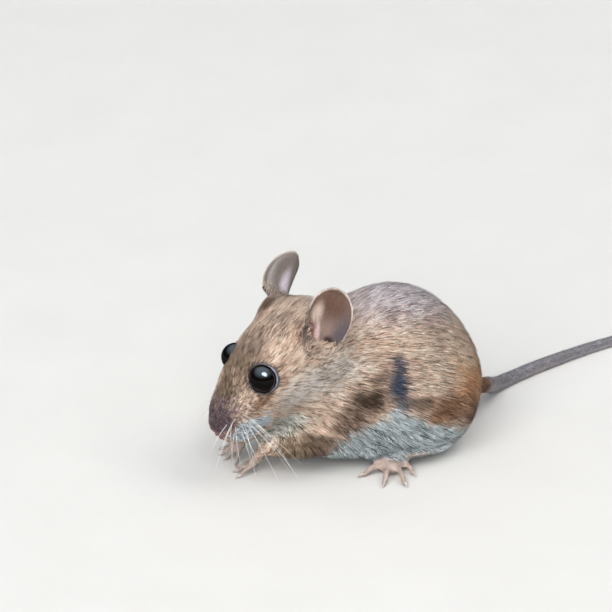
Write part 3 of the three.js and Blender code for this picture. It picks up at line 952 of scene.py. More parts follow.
def shapeEars(skin):
    # sets the ears to a thin leaf with a curled rim and the folds in front of its hollow
    skin.earRim = np.zeros(len(skin.points))
    thinFrom, curlFrom = earSet["thinFrom"], earSet["curlFrom"]
    for number, side in enumerate(sides, 1):
        across, along = leafGrid(1, 121, (0, 1), 141)
        leaf = (*earLeaf(side, across, along), across, along)
        chosen = np.where(skin.names == "ear_" + side)[0]
        near = nearest(treeOf(leaf[0]), skin.points[chosen])
        place, normal, rimness, across, along = [part[near] for part in leaf]
        away = skin.points[chosen] - place
        face = np.sign((away * normal).sum(1))
        rim, curled = [smooth01((rimness - start) / (1 - start)) for start in (thinFrom, curlFrom)]
        half = earSet["half"] + (earSet["rimHalf"] - earSet["half"]) * rim
        curl = earSet["curl"] * curled * smooth01((along - 0.15) / 0.3)
        fold = np.zeros(len(chosen))
        for t, u, tReach, uReach, height in earSet["folds"]:
            size = np.hypot((along - t) / tReach, (across - u) / uReach)
            fold += height * (1 - smooth01(size)) * (face > 0)
        shaped = place + unit(away) * half[:, None] + normal * (curl + fold)[:, None]
        weight = smooth01((along - 0.05) / 0.13)[:, None]  # the foot stays with the head
        skin.points[chosen] += weight * (shaped - skin.points[chosen])
        skin.earSpot[chosen] = np.stack([along, across, face * number], 1)
        skin.earRim[chosen] = smooth01((rimness - 0.9) / 0.09) * smooth01((along - 0.15) / 0.2)


def inHollow(side, points, grow=0.0):
    # how far points lie from the middle of the ear's hollow, as a share of its size, and how high up the ear
    middle, halves = earSet["hollow"]
    local = (points - earRoot(side)) @ np.array(earAxes(side)).T
    return np.linalg.norm((local - middle) / (np.array(halves) + grow), axis=1), local[:, 1]


def hairHollows(skin):
    # the head's skin inside an ear's hollow is bare and painted as the leaf beside it
    for number, side in enumerate(sides, 1):
        across, along = leafGrid(0.9, 21, (0.02, 0.6), 18)
        size, high = inHollow(side, skin.points)
        deep = high - earSet["hollow"][0][1] > earSet["hairedBelow"]
        chosen = np.where((skin.names == "head") & (size < 0.98) & deep)[0]
        near = nearest(treeOf(earLeaf(side, across, along)[0]), skin.points[chosen])
        skin.bare["ear"][chosen] = 1
        skin.earSpot[chosen] = np.stack([along[near], across[near], np.full(len(near), number)], 1)


def joinEars(skin):
    # the leaf runs softly into the hollow and the head
    foot = np.zeros(len(skin.points))
    for side in sides:
        size, high = inHollow(side, skin.points, 0.5)
        low = smooth01((0.4 - high / earSet["length"]) / 0.14)
        foot = np.maximum(foot, smooth01((1 - size) / 0.12) * low)
    foot *= (skin.names == "head") | skin.isPart["ear"]
    skin.points = relax(skin.points, skin, earSet["join"], foot)


def alongLine(points, line):
    # how far along a line of points each place lies, and how far from it
    best = np.full(len(points), 1e9)
    way = np.zeros(len(points))
    start = 0.0
    for a, b in zip(line[:-1], line[1:]):
        span = np.linalg.norm(b - a)
        share = np.clip((points - a) @ (b - a) / span ** 2, 0, 1)
        away = np.linalg.norm(points - a - share[:, None] * (b - a), axis=1)
        nearer = away < best
        way[nearer] = start + share[nearer] * span
        best = np.minimum(best, away)
        start += span
    return way, best


# grooves pressed into the skin: points of the groove on the head, its width and its depth in mm
creases = {
    "mouth": ([(22.6, 0.0, -2.5), (21.6, 2.2, -2.7), (19.6, 3.9, -3.2), (17.6, 4.7, -3.9)], 0.34, 0.5),
    "lipGroove": ([(24.2, 0, -1.2), (23.3, 0, -2.2)], 0.26, 0.4),
    "nostril": ([(24.0, 0.75, -0.35), (23.6, 1.25, -0.6)], 0.3, 0.5),
}
creaseFlat = 0.3  # half width of a groove's even floor


def pressCreases(skin):
    local = (skin.points - headOrigin) @ headAxes.T
    local[:, 1] = np.abs(local[:, 1])
    chosen = np.where(local[:, 0] > 14)[0]
    sunk = np.zeros(len(chosen))
    for line, width, depth in creases.values():
        away = alongLine(local[chosen], np.array(line, float))[1]
        sunk = np.maximum(sunk, depth * np.exp(-(np.maximum(away - creaseFlat, 0) / width) ** 2))
    skin.points[chosen] -= skin.normals[chosen] * sunk[:, None]


# lie of the coat: place, direction, then depth and length of the hair in mm
headStrokes = [
    ((21.6, 0, 1.0), (-1, 0, 0.3), 0.22, 0.6),
    ((18, 0, 2.6), (-1, 0, 0.1), 0.4, 1.1),
    ((14, 0, 3.9), (-1, 0, 0.15), 0.65, 1.6),
    ((9, 0, 5.9), (-1, 0, 0.1), 0.95, 2.2),
    ((3, 0, 5.0), (-1, 0, -0.1), 1.2, 2.6),
    ((-2, 0, 3.5), (-1, 0, -0.4), 1.5, 3.0),
    ((14.5, 4.2, 2.2), (-0.9, 0.25, 0.15), 0.45, 1.2),
    ((9.5, 3.6, 5.6), (-1, 0, -0.1), 0.8, 1.9),
    ((7.5, 6.2, 2.5), (-1, 0.1, -0.2), 0.9, 2.1),
    ((11.5, 6.9, -0.8), (-0.9, 0, -0.4), 0.65, 1.7),
    ((6.5, 8.2, -3.5), (-0.85, 0, -0.55), 1.2, 2.6),
    ((10.5, 7.6, -4.0), (-0.85, 0, -0.5), 1.0, 2.3),
    ((13.5, 5.8, -6.5), (-0.75, 0, -0.65), 0.9, 2.2),
    ((18.4, 4.6, 1.4), (-0.85, 0.25, -0.35), 0.3, 0.8),
    ((17.5, 5.5, -1.0), (-0.8, 0.15, -0.6), 0.45, 1.5),
    ((21.6, 2.9, 0.6), (-0.6, 0.6, -0.5), 0.2, 0.55),
    ((16.5, 0, -5.2), (-0.9, 0, -0.4), 0.5, 1.3),
    ((9.5, 0, -7.5), (-0.8, 0, -0.6), 1.0, 2.4),
    ((4.2, 6.4, 2.2), (-0.9, 0.3, 0.3), 1.0, 2.2),
    ((1.5, 8.8, -3.4), (-0.9, 0.1, -0.45), 1.1, 2.4),
]
bodyStrokes = [
    ((9, 0, 28.5), (-1, 0, 0.1), 1.8, 3.6),
    ((0, 0, 29.8), (-1, 0, -0.05), 2.0, 4.2),
    ((-9, 0, 26), (-0.85, 0, -0.5), 2.0, 4.4),
    ((-15, 0, 18), (-0.35, 0, -0.95), 2.0, 4.2),
    ((-15.5, 0, 10), (-0.3, 0, -0.95), 1.6, 3.4),
    ((10, 9.5, 21), (-1, 0, -0.1), 1.6, 3.2),
    ((13, 10, 15), (-0.95, 0, -0.3), 1.5, 3.0),
    ((15, 10, 9), (-0.8, 0, -0.6), 1.3, 2.8),
    ((9, 10.5, 15), (-0.9, 0.1, -0.4), 1.7, 3.6),
    ((2, 12, 19), (-0.95, 0, -0.25), 1.9, 4.0),
    ((3, 12, 12), (-0.9, 0, -0.45), 1.8, 4.0),
    ((-5, 12.5, 17), (-0.9, 0, -0.35), 2.0, 4.2),
    ((-5, 13.2, 9), (-0.85, 0, -0.5), 1.9, 4.0),
    ((-11, 9.5, 18), (-0.7, -0.2, -0.65), 2.0, 4.2),
    ((-13, 8, 10), (-0.5, -0.4, -0.8), 1.8, 3.8),
    ((6, 11, 6.5), (-0.75, 0, -0.65), 1.8, 4.2),
    ((-2, 11, 3.5), (-0.85, -0.1, -0.45), 1.5, 3.8),
    ((-10, 9, 4), (-0.8, -0.2, -0.5), 1.5, 3.4),
    ((2, 0, 0.8), (-1, 0, 0), 1.2, 2.6),
    ((-9, 0, 2), (-1, 0, 0.1), 1.2, 2.6),
    ((13, 0, 2.5), (-0.8, 0, -0.6), 1.3, 2.6),
    ((20, 0, 8), (-0.3, 0, -1), 1.1, 2.4),
    ((19, 5, 8), (-0.35, 0.1, -0.95), 1.1, 2.4),
]
armStrokes = [
    ((15.5, 8.8, 7), (-0.5, 0, -0.85), 1.1, 2.5),
    ((15.5, 8.0, 4.5), (-0.4, 0, -0.9), 1.0, 2.2),
    ((19.5, 6.8, 5.2), (0.2, -0.2, -0.9), 0.5, 1.4),
    ((23.4, 4.6, 3.8), (0.7, -0.3, -0.6), 0.18, 0.7),
    ((26, 3.6, 1.4), (0.9, -0.2, -0.3), 0.04, 0.4),
]
footStrokes = [
    ((-5, 3.5, 1), (0.8, 0.5, 0), 0.1, 0.6),
    ((3, 9, 1), (0.8, 0.6, 0), 0.04, 0.5),
]
tailLine = [(-13, 0, 8.5), (-19.5, -4.5, 6), (-25, -13.2, 1.4), (-34, -17.8, 1.05), (-47.4, -22.7, 0.85),
            (-59, -25, 0.72), (-71, -22.5, 0.6), (-79, -14.5, 0.48), (-81, -5.5, 0.38)]
tailCourse = np.array([bodyPoint(*spot) for spot in tailLine])
tailHair = (0.05, 0.9)
earHair = (0.03, 0.6)
noseDepth = 0.03


def placed(rows, isHead=False):
    # a row off the middle plane stands for both sides
    point, axes = (headPoint, headAxes) if isHead else (bodyPoint, np.eye(3))
    both = []
    for place, lie, *rest in rows:
        for side in (1, -1) if place[1] else (1,):
            mirror = [1, side, 1]
            both.append((point(*np.array(place) * mirror), np.array(lie) * mirror @ axes, *rest))
    return both


def tailStrokes():
    rows = []
    for a, b in zip(tailCourse[:-1], tailCourse[1:]):
        rows += [(a + (b - a) * share, unit(b - a), *tailHair) for share in (0.0, 0.5)]
    return rows + [(tailCourse[-1], unit(b - a), *tailHair)]


bareSet = {
    "noseTip": (23.4, 0, -0.4),
    "noseStretch": (1, 0.75, 1),
    "noseReach": 1.6,
    "handStart": -2.2,  # how far before a foot's own place its bare skin starts, and how high up it reaches
    "handTop": 4.6,
    "footStart": 5.5,
    "footTop": 2.9,
    "fadeReach": 2.0,
    "ankle": (11.7, -2.3, 2.4),  # forward, outward and up from the hind foot's own place
    "ankleReach": 3.2,
    "tailFrom": 6.5,  # mm along the tail where its bare skin starts, and where its own hair does
    "cuffFrom": 4.0,
}


def footFrame(kind, origin, side, turn):
    # the foot's own place, the way its toes point and its outer side
    angle = math.radians(side * turn)
    ahead = np.array([math.cos(angle), math.sin(angle), 0])
    outward = np.array([-math.sin(angle), math.cos(angle), 0]) * side
    return np.array([*origin, 0]), ahead, outward


def findFeet(skin):
    skin.foot = np.zeros(len(skin.points))
    skin.ankle = np.zeros(len(skin.points))
    for row in clawSet["feet"]:
        kind, side = row[0], row[2]
        place, ahead, outward = footFrame(*row)
        if kind == "hind":
            forward, aside, height = bareSet["ankle"]
            joint = place + ahead * forward + outward * aside + [0, 0, height]
            away = np.linalg.norm(skin.body - joint, axis=1)
            skin.ankle = np.maximum(skin.ankle, smooth01((bareSet["ankleReach"] - away) / 1.6))
        start, top = [bareSet[("foot" if kind == "hind" else "hand") + end] for end in ("Start", "Top")]
        forward = (skin.body - place)[:, :2] @ ahead[:2]
        mine = skin.isPart["leg_" + kind] & (np.sign(skin.body[:, 1]) == side) & (skin.body[:, 2] < top)
        skin.foot = np.maximum(skin.foot, mine * smooth01((forward - start) / bareSet["fadeReach"]))


def findLids(skin):
    skin.lid = np.zeros(len(skin.points))
    skin.gleam = np.zeros(len(skin.points))
    for side in sides:
        away = skin.points - eyeCentre[side]
        high = away @ eyeAxis[side]
        wide = np.linalg.norm(away - high[:, None] * eyeAxis[side], axis=1)
        lid = smooth01((eyeSet["lidEdge"] - wide) / eyeSet["lidSoft"])
        skin.lid = np.maximum(skin.lid, np.where(high > eyeSet["lidBack"], lid, 0))
        # the lower edge of the lid gets a painted glint, a pale reflection in its colour
        under = np.array(eyeSet["gleamWay"]) @ headAxes
        under = unit(under - eyeAxis[side] * (under @ eyeAxis[side]))
        below = smooth01(((away @ under) / np.maximum(wide, 0.1) - 0.35) / 0.4)
        skin.gleam = np.maximum(skin.gleam, below * (wide < eyeSet["gleamEdge"]) * (skin.lid > 0))


def findBareParts(skin):
    findFeet(skin)
    findLids(skin)
    tail = skin.isPart["tail"]
    skin.tailWay = np.where(tail, alongLine(skin.points, tailCourse)[0], 0)
    fromNose = (skin.local - bareSet["noseTip"]) * bareSet["noseStretch"]
    skin.bare = {
        "ear": skin.isPart["ear"].astype(float),
        "tail": tail * smooth01((skin.tailWay - bareSet["tailFrom"]) / 3),
        "nose": (np.linalg.norm(fromNose, axis=1) < bareSet["noseReach"]).astype(float),
        "foot": skin.foot,
        "lid": skin.lid,
    }
    skin.earSpot = np.zeros((len(skin.points), 3))
    hairHollows(skin)


def settleForms(skin):
    # big forms are settled smooth, thin ones only a little
    thin = sum(skin.bare.values()) + 0.6 * skin.isPart["leg_front"]
    thin = relax(np.clip(thin, 0, 1), skin, 6)
    skin.points = relax(skin.points, skin, skinSet["settle"], np.clip(1 - thin, 0, 1))
    skin.points = relax(skin.points, skin, skinSet["fineSettle"], 0.6)


def combCoat(skin):
    # the coat's lie, depth and length at each point of the skin
    coat = placed(headStrokes, True) + placed(bodyStrokes)
    arm, tail, hind = skin.isPart["leg_front"], skin.isPart["tail"], skin.isPart["leg_hind"]
    fields = spread(skin.points, coat)
    fields[arm] = spread(skin.points, coat + placed(armStrokes), 1.0)[arm]
    low = (skin.foot > 0) & hind
    fields[low] += skin.foot[low, None] * (spread(skin.points[low], placed(footStrokes)) - fields[low])
    shank = np.maximum(hind * smooth01((3.4 - skin.body[:, 2]) / 1.4) * 0.8, skin.ankle)
    for column, most in ((3, 0.2), (4, 1.0)):
        fields[:, column] += shank * (np.minimum(fields[:, column], most) - fields[:, column])
    cuff = (tail * smooth01((skin.tailWay - bareSet["cuffFrom"]) / 4.5))[:, None]
    tailFields = spread(skin.points, tailStrokes(), 1.0) * np.maximum(cuff, 0.3)
    fields = np.where(tail[:, None], fields * (1 - cuff) * [1, 1, 1, 0.5, 0.8] + tailFields, fields)
    for side in sides:
        fields[skin.names == "ear_" + side] = [*(np.array(earSet[side][1]) @ headAxes), *earHair]
    fields[:, 3] = np.where(skin.bare["nose"] > 0, noseDepth, fields[:, 3] * (1 - skin.lid))
    return relax(fields, skin, 5)


def drawIn(skin, depth):
    # the skin sinks by the coat's depth, so that the tips reach the solids' surface
    normals = unit(relax(surfaceNormals(skin.points, skin.quads), skin, 2))
    drawn = skinSet["bridge"] * (1 - skin.lid) + depth
    skin.points = relax(skin.points - normals * drawn[:, None], skin, 2, 0.4)
    skin.points = relax(skin.points, skin, 10, skin.lid)
    for side in sides:  # the lids lie snug on the eyeball
        away = skin.points - eyeCentre[side]
        distance = np.linalg.norm(away, axis=1)
        snug = (distance < 3) & (skin.names == "head")
        reach = np.maximum(distance, eyeSet["radius"] + eyeSet["clearance"])
        skin.points[snug] = (eyeCentre[side] + away / distance[:, None] * reach[:, None])[snug]
    skin.normals = unit(relax(surfaceNormals(skin.points, skin.quads), skin, 2))


def growEarFur(skin, fields):
    # the coat climbs the back of each ear's foot, and the front margin of the left one
    along, across, face = skin.earSpot.T
    margin = smooth01((-0.35 - across) / 0.25) * smooth01((0.8 - along) / 0.25) * (face == -1)
    foot = smooth01((0.4 - along) / 0.16)
    skin.earFur = relax(skin.isPart["ear"] * (face < 0) * np.maximum(margin, foot), skin, 2)
    skin.depth = np.maximum(fields[:, 3], skin.earFur * 0.25)
    skin.length = np.maximum(fields[:, 4], skin.earFur * 2.0)


def buildSkin():
    # the flesh nodes are swollen until their gaps close, made one surface, then drawn in by the coat's depth
    points, faces, sources, labels = draftSurface()
    points, quads = largestShell(*remeshed(points, faces))
    skin = SimpleNamespace(points=points, quads=quads, body=points - bodyOrigin)
    skin.local = (points - headOrigin) @ headAxes.T
    skin.a, skin.b = edgePairs(quads)
    skin.degree = np.bincount(np.append(skin.a, skin.b), minlength=len(points)).astype(float)
    skin.names = np.array(fleshNodes)[labels[nearest(treeOf(sources), points)]]
    kinds = ("ear", "tail", "leg_front", "leg_hind")
    skin.isPart = {kind: np.char.startswith(skin.names, kind) for kind in kinds}
    print("skin draft", len(points), "points")

    findBareParts(skin)
    settleForms(skin)
    fields = combCoat(skin)
    drawIn(skin, fields[:, 3])
    skin.gleam = relax(skin.gleam, skin, 2)
    shapeEars(skin)
    joinEars(skin)
    pressCreases(skin)
    skin.points = relax(skin.points, skin, 1, 0.3)
    skin.normals = unit(relax(surfaceNormals(skin.points, quads), skin, 1))
    lie = fields[:, :3]
    skin.lie = unit(lie - skin.normals * (lie * skin.normals).sum(1, keepdims=True))
    growEarFur(skin, fields)
    skin.bare = {part: relax(mask, skin, 3) for part, mask in skin.bare.items()}
    skin.local = (skin.points - headOrigin) @ headAxes.T
    skin.body = skin.points - bodyOrigin
    area = np.linalg.norm(facing(skin.points, quads), axis=1) / 2
    skin.area = np.bincount(quads.ravel(), np.repeat(area / 4, 4), len(points))
    skin.tree = treeOf(skin.points)
    print("skin settled, area", round(skin.area.sum()), "mm2")
    return skin


def skinPiece(skin, material):
    mesh = meshFrom("skin", skin.points, skin.quads)
    for part, mask in skin.bare.items():
        store(mesh, part + "Part", mask)
    store(mesh, "tailSide", smooth01(skin.normals[:, 2] * 0.9 + 0.45))
    for name, values in (("tailWay", skin.tailWay), ("earSpot", skin.earSpot),
                         ("earRim", skin.earRim), ("lidPaintedGlint", skin.gleam)):
        store(mesh, name, values)
    piece = addPiece("skin", mesh, material)
    keepFine = np.clip(sum(skin.bare.values()) + smooth01((skin.local[:, 0] - 12) / 4), 0, 1)
    coarse = piece.vertex_groups.new(name="coarse")
    coarse.add(np.where(keepFine < 0.3)[0].tolist(), 1.0, "REPLACE")
    thinner = piece.modifiers.new("thinner", "DECIMATE")
    thinner.ratio = skinSet["keepShare"]
    thinner.vertex_group = "coarse"
    thinner.use_collapse_triangulate = True
    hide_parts(*fleshNodes)


downSet = {"rise": (0.1, 1.0), "sink": 0.05, "gather": 0.1}
coatSets = {
    "coat_back": {"count": 19000, "width": 0.17},
    "coat_rump": {"count": 19000, "width": 0.17},
    "coat_flank_left": {"count": 21000, "width": 0.16},
    "coat_flank_right": {"count": 18000, "width": 0.17},
    "coat_belly": {"count": 11000, "width": 0.2},
    "coat_neck": {"count": 17000, "width": 0.15},
    "coat_head": {"count": 21500, "width": 0.12},
    "coat_face": {"count": 21500, "width": 0.085},
    "coat_ears": {"count": 6000, "width": 0.04, "least": 0.12, **downSet, "hair": ("6d5c50", "cabdb1")},
    "coat_tail": {"count": 6000, "width": 0.06, "least": 0.16, **downSet, "hair": ("6f6662", "c6beba")},
    "coat_feet": {"count": 4500, "width": 0.06, "least": 0.12, **downSet, "hair": ("9c8f86", "d9d2cb")},
}
tuftSet = {
    "stops": (0, 0.5, 1.0),
    "jitter": 0.13,
    "stray": 0.16,
    "unevenLength": (0.6, 1.08),
    "unevenWidth": (0.7, 1.25),
    "flatness": 0.7,
    "taper": 0.55,
    "least": 0.05,  # the least depth of coat that a tuft rises through
    "rise": (0.35, 0.98),
    "sink": 0.15,
    "lock": 9,
    "lockTone": 0.85,
    "gather": 0.34,
    "patch": 0.003,  # size of a tuft's own patch on the map
    "earLit": (6, 2, 0.85),  # how near an ear's foot a hair is lit with the head, how softly and how much
}


def walk(skin, roots, place, lie, length, stops):
    # tufts walk over the skin along its lie
    path, normals, headings, marks = [place], [skin.normals[roots]], [lie], [roots]
    for before, after in zip(stops[:-1], stops[1:]):
        target = path[-1] + headings[-1] * (length * (after - before))[:, None]
        near = nearest(skin.tree, target)
        n = skin.normals[near]
        heading = unit(headings[-1] * 0.7 + skin.lie[near] * 0.3)
        path.append(target - n * ((target - skin.points[near]) * n).sum(1, keepdims=True))
        normals.append(n)
        headings.append(unit(heading - n * (heading * n).sum(1, keepdims=True)))
        marks.append(near)
    return [np.stack(part, 1) for part in (path, normals, headings, marks)]


def plantTufts(skin, chance, look):
    count = look["count"]
    weights = skin.area * chance
    roots = rng.choice(len(weights), count, p=weights / weights.sum())
    lie = skin.lie[roots]
    side = np.cross(skin.normals[roots], lie)
    jitter = rng.uniform(-look["jitter"], look["jitter"], (count, 2))
    place = skin.points[roots] + lie * jitter[:, :1] + side * jitter[:, 1:]
    turn = rng.normal(0, look["stray"], count)[:, None]
    lie = lie * np.cos(turn) + side * np.sin(turn)
    length = skin.length[roots] * rng.uniform(*look["unevenLength"], count)
    tufts = SimpleNamespace(roots=roots, place=place, t=np.array(look["stops"]))
    tufts.path, tufts.normals, tufts.headings, marks = walk(skin, roots, place, lie, length, look["stops"])
    tufts.seen = tufts.path[:, 0] * 0.35 + tufts.path[:, 1] * 0.65  # where a tuft takes its marking

    low, high = look["rise"]
    rise = (low + (high - low) * rng.random(count) ** 0.8)[:, None]
    swell = 1 - (1 - tufts.t) ** 2
    height = np.maximum(skin.depth[marks], look["least"]) * rise * swell - look["sink"] * (1 - tufts.t)
    tufts.path = tufts.path + tufts.normals * height[..., None]
    return tufts


def gatherLocks(tufts, look):
    # every so many tufts one leads, and its neighbours' tips lean to it and share its tone
    count = look["count"]
    leaders = rng.choice(count, max(count // look["lock"], 1), replace=False)
    leading = leaders[nearest(treeOf(tufts.place[leaders]), tufts.place)]
    tone = rng.random(count)
    tone = tone + look["lockTone"] * tone[leading]
    tufts.tone = np.argsort(np.argsort(tone)) / count
    pull = look["gather"] * tufts.t ** 1.4
    tufts.path = tufts.path + (tufts.path[leading] - tufts.path) * pull[None, :, None]


def tuftPoints(tufts, look):
    # three-sided rings along the path, which ends in a single point
    count = look["count"]
    widths = look["width"] * rng.uniform(*look["unevenWidth"], count)
    spin = rng.uniform(0, 2 * math.pi, count)
    corners = []
    for k, t in enumerate(tufts.t[:-1]):
        up = tufts.normals[:, k]
        across = np.cross(up, tufts.headings[:, k])
        radius = widths * 0.5 * (1 - t) ** look["taper"]
        for c in range(3):
            angle = (spin + c * 2 * math.pi / 3)[:, None]
            out = across * np.cos(angle) + up * look["flatness"] * np.sin(angle)
            corners.append(tufts.path[:, k] + out * radius[:, None])
    return np.stack(corners + [tufts.path[:, -1]], 1)


def tuftFaces(t):
    # one tuft's triangles, and each corner's place across and along its own patch of the map
    faces, patches = [], []
    last = len(t) * 3 - 6
    for k in range(len(t) - 2):
        for c in range(3):
            a, b = k * 3 + c, k * 3 + (c + 1) % 3
            faces += [(a, b, b + 3), (a, b + 3, a + 3)]
            corners = [((c + i) / 3, t[k + j]) for i, j in ((0, 0), (1, 0), (1, 1), (0, 1))]
            patches += [corners[n] for n in (0, 1, 2, 0, 2, 3)]
    for c in range(3):
        faces.append((last + c, last + (c + 1) % 3, last + 3))
        patches += [(c / 3, t[-2]), ((c + 1) / 3, t[-2]), ((c + 0.5) / 3, 1.0)]
    return np.array(faces), np.array(patches)


def litWithHead(tufts, look):
    # hairs round the foot of an ear are lit with the head they lie on
    normals = tufts.normals
    reach, soft, most = look["earLit"]
    fromHead = unit(tufts.place - headPoint(2, 0, -3))[:, None]
    for side in sides:
        away = np.linalg.norm(tufts.place - earRoot(side), axis=1)
        normals = normals + (smooth01((reach - away) / soft) * most)[:, None, None] * (fromHead - normals)
    return unit(normals)


def unwrap(places, look):
    # latitude and longitude round the part's own middle, stretched to fill the map
    away = unit(places - look["middle"])
    around = np.arctan2(away @ look["sideAxis"], away @ look["frontAxis"])
    flat = np.stack([around, np.arccos(np.clip(away @ look["poleAxis"], -1, 1))], 1)
    low, high = flat.min(0), flat.max(0)
    return 0.02 + 0.96 * (flat - low) / (high - low)


def growCoat(name, skin, chance, look, material):
    tufts = plantTufts(skin, chance, look)
    gatherLocks(tufts, look)
    points = tuftPoints(tufts, look)
    faces, patches = tuftFaces(tufts.t)
    count, per = points.shape[:2]
    faces = (faces + (np.arange(count) * per)[:, None, None]).reshape(-1, 3)
    mesh = meshFrom(name, points.reshape(-1, 3), faces)
    ring = [3] * (len(tufts.t) - 1) + [1]
    values = {
        "markPlace": np.repeat(tufts.seen, per, 0),
        "skinFacing": np.repeat(litWithHead(tufts, look), ring, 1).reshape(-1, 3),
        "hairTone": np.repeat(tufts.tone, per),
        "hairAlong": np.tile(np.repeat(tufts.t, ring), count),
    }
    if name == "coat_ears":
        values["earSpot"] = np.repeat(skin.earSpot[tufts.roots], per, 0)
        values["earRim"] = np.repeat(skin.earRim[tufts.roots], per)
    for label, numbers in values.items():
        store(mesh, label, numbers)
    places = unwrap(tufts.place, look)[:, None] + (patches - 0.5) * look["patch"]
    mesh.uv_layers.new(name="OFBake").data.foreach_set("uv", places.astype(np.float32).ravel())
    addPiece(name, mesh, material)
    print(name, count, "tufts", len(faces), "triangles")


partingSet = {
    "faceFrom": 10.5,  # mm along the head, where the finer hair of the face starts
    "bellyBelow": 4.5,
    "backAbove": 22,
    "rumpBehind": -7,
    "lidBare": 0.4,
    "ankleThin": 0.85,
    "rimBare": 0.95,
    "soleBelow": 0.5,
}
headMap = {"middle": headPoint(8, 0, -1), "poleAxis": headX, "frontAxis": headZ, "sideAxis": headY}
bodyMap = {"middle": bodyPoint(0, 0, 14)}
bodyMap.update(zip(("frontAxis", "sideAxis", "poleAxis"), np.eye(3)))


def coatPlaces(skin):
    hairy = np.clip(1 - sum(skin.bare[part] for part in ("ear", "tail", "nose", "foot")), 0, 1)
    hairy = np.where(skin.bare["lid"] > partingSet["lidBare"], 0, hairy)
    hairy = hairy * (1 - partingSet["ankleThin"] * skin.ankle)
    isHead, isNeck = skin.names == "head", skin.names == "neck"
    front = smooth01(skin.local[:, 0] - partingSet["faceFrom"])
    rest = ~(isHead | isNeck)
    x, y, z = skin.body.T
    low = rest & (z < partingSet["bellyBelow"])
    back = rest & ~low & (z > partingSet["backAbove"])
    rump = rest & ~low & ~back & (x < partingSet["rumpBehind"])
    flank = rest & ~low & ~back & ~rump
    return {
        "coat_back": hairy * back,
        "coat_rump": hairy * rump,
        "coat_flank_left": hairy * (flank & (y > 0)),
        "coat_flank_right": hairy * (flank & (y <= 0)),
        "coat_belly": hairy * low,
        "coat_neck": hairy * isNeck,
        "coat_head": np.maximum(hairy * isHead * (1 - front), skin.earFur),
        "coat_face": hairy * isHead * front,
        "coat_ears": skin.bare["ear"] * (1 - partingSet["rimBare"] * skin.earRim),
        "coat_tail": skin.bare["tail"],
        "coat_feet": skin.bare["foot"] * (z > partingSet["soleBelow"]),
    }


def makeCoat(skin, markingsAndPaintedLight, earPaint):
    coatMaterial = makeCoatMaterial(markingsAndPaintedLight, makeHairGroup())
    for name, chance in coatPlaces(skin).items():
        onHead = name in ("coat_head", "coat_face", "coat_neck", "coat_ears")
        look = {**tuftSet, **coatSets[name], **(headMap if onHead else bodyMap)}
        paint = coatMaterial
        if "hair" in look:
            paint = makeDownMaterial(name + "Hair", *look["hair"], earPaint if name == "coat_ears" else None)
        growCoat(name, skin, chance, look, paint)


eyeLook = {
    "dark": (0.0015, 0.0012, 0.0014),
    "light": (0.004, 0.0025, 0.002),
    "scale": 900,
    "roughness": 0.05,
}


def makeEyes():
    material = speckled("eyeGloss", **eyeLook)
    tilts = np.linspace(0, math.pi, 33)[1:-1, None, None]
    around = np.linspace(0, 2 * math.pi, 64, endpoint=False)[:, None]
    for side in sides:
        first, second = roundAxes(-eyeAxis[side])
        turn = np.cos(around) * first + np.sin(around) * second
        rings = eyeCentre[side] + eyeSet["radius"] * (turn * np.sin(tilts) + eyeAxis[side] * np.cos(tilts))
        poles = [eyeCentre[side] + eyeAxis[side] * reach for reach in (eyeSet["radius"], -eyeSet["radius"])]
        name = "eyeball_" + side
        piece = addPiece(name, meshFrom(name, *closedRings(rings, *poles)), material)
        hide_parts("eye_" + side)


def tube(line, radii, around=4):
    # a closed tapering tube along a line of points
    last = len(line) - 1
    angles = np.linspace(0, 2 * math.pi, around, endpoint=False)[:, None]
    rings = []
    for k, spot in enumerate(line):
        first, second = roundAxes(unit(line[min(k + 1, last)] - line[max(k - 1, 0)]), (0.2, 0.3, 1))
        rings.append(spot + (first * np.cos(angles) + second * np.sin(angles)) * radii[k])
    return closedRings(np.array(rings), line[0], line[-1])


whiskerSet = {
    "rows": 3,
    "perRow": 5,
    "length": (5, 15.5),
    "farShare": 0.6,  # the right side's are shorter
    "bed": (21.4, 2.6, 1.3),  # where the first one of the top row is rooted
    "bedReach": (-3.4, 2.4, -1.0),  # back and outward to the last, and down from row to row
    "leave": {"forward": 0.5, "turnBack": 1.2, "rise": 0.3, "rowDrop": 0.3},
    "fall": {"forward": 0.25, "turnBack": 0.75, "outward": 0.29, "drop": 0.38, "rowDrop": 0.2},
    "unevenRoot": 0.2,
    "unevenLength": (0.75, 1.1),
    "stray": 0.1,
    "root": 0.055,
    "rootDepth": 0.15,
    "tip": 0.012,
    "sections": 8,
    "floorClear": 0.15,
    "seed": 4,
}
whiskerHair = {"dark": fromHex("cbc6bf"), "light": fromHex("f0ece6"), "scale": 400, "roughness": 0.4}


def whiskerRows():
    for side in (1, -1):
        for row in range(whiskerSet["rows"]):
            for number in range(whiskerSet["perRow"]):
                yield side, row, (number + 0.5) / whiskerSet["perRow"]


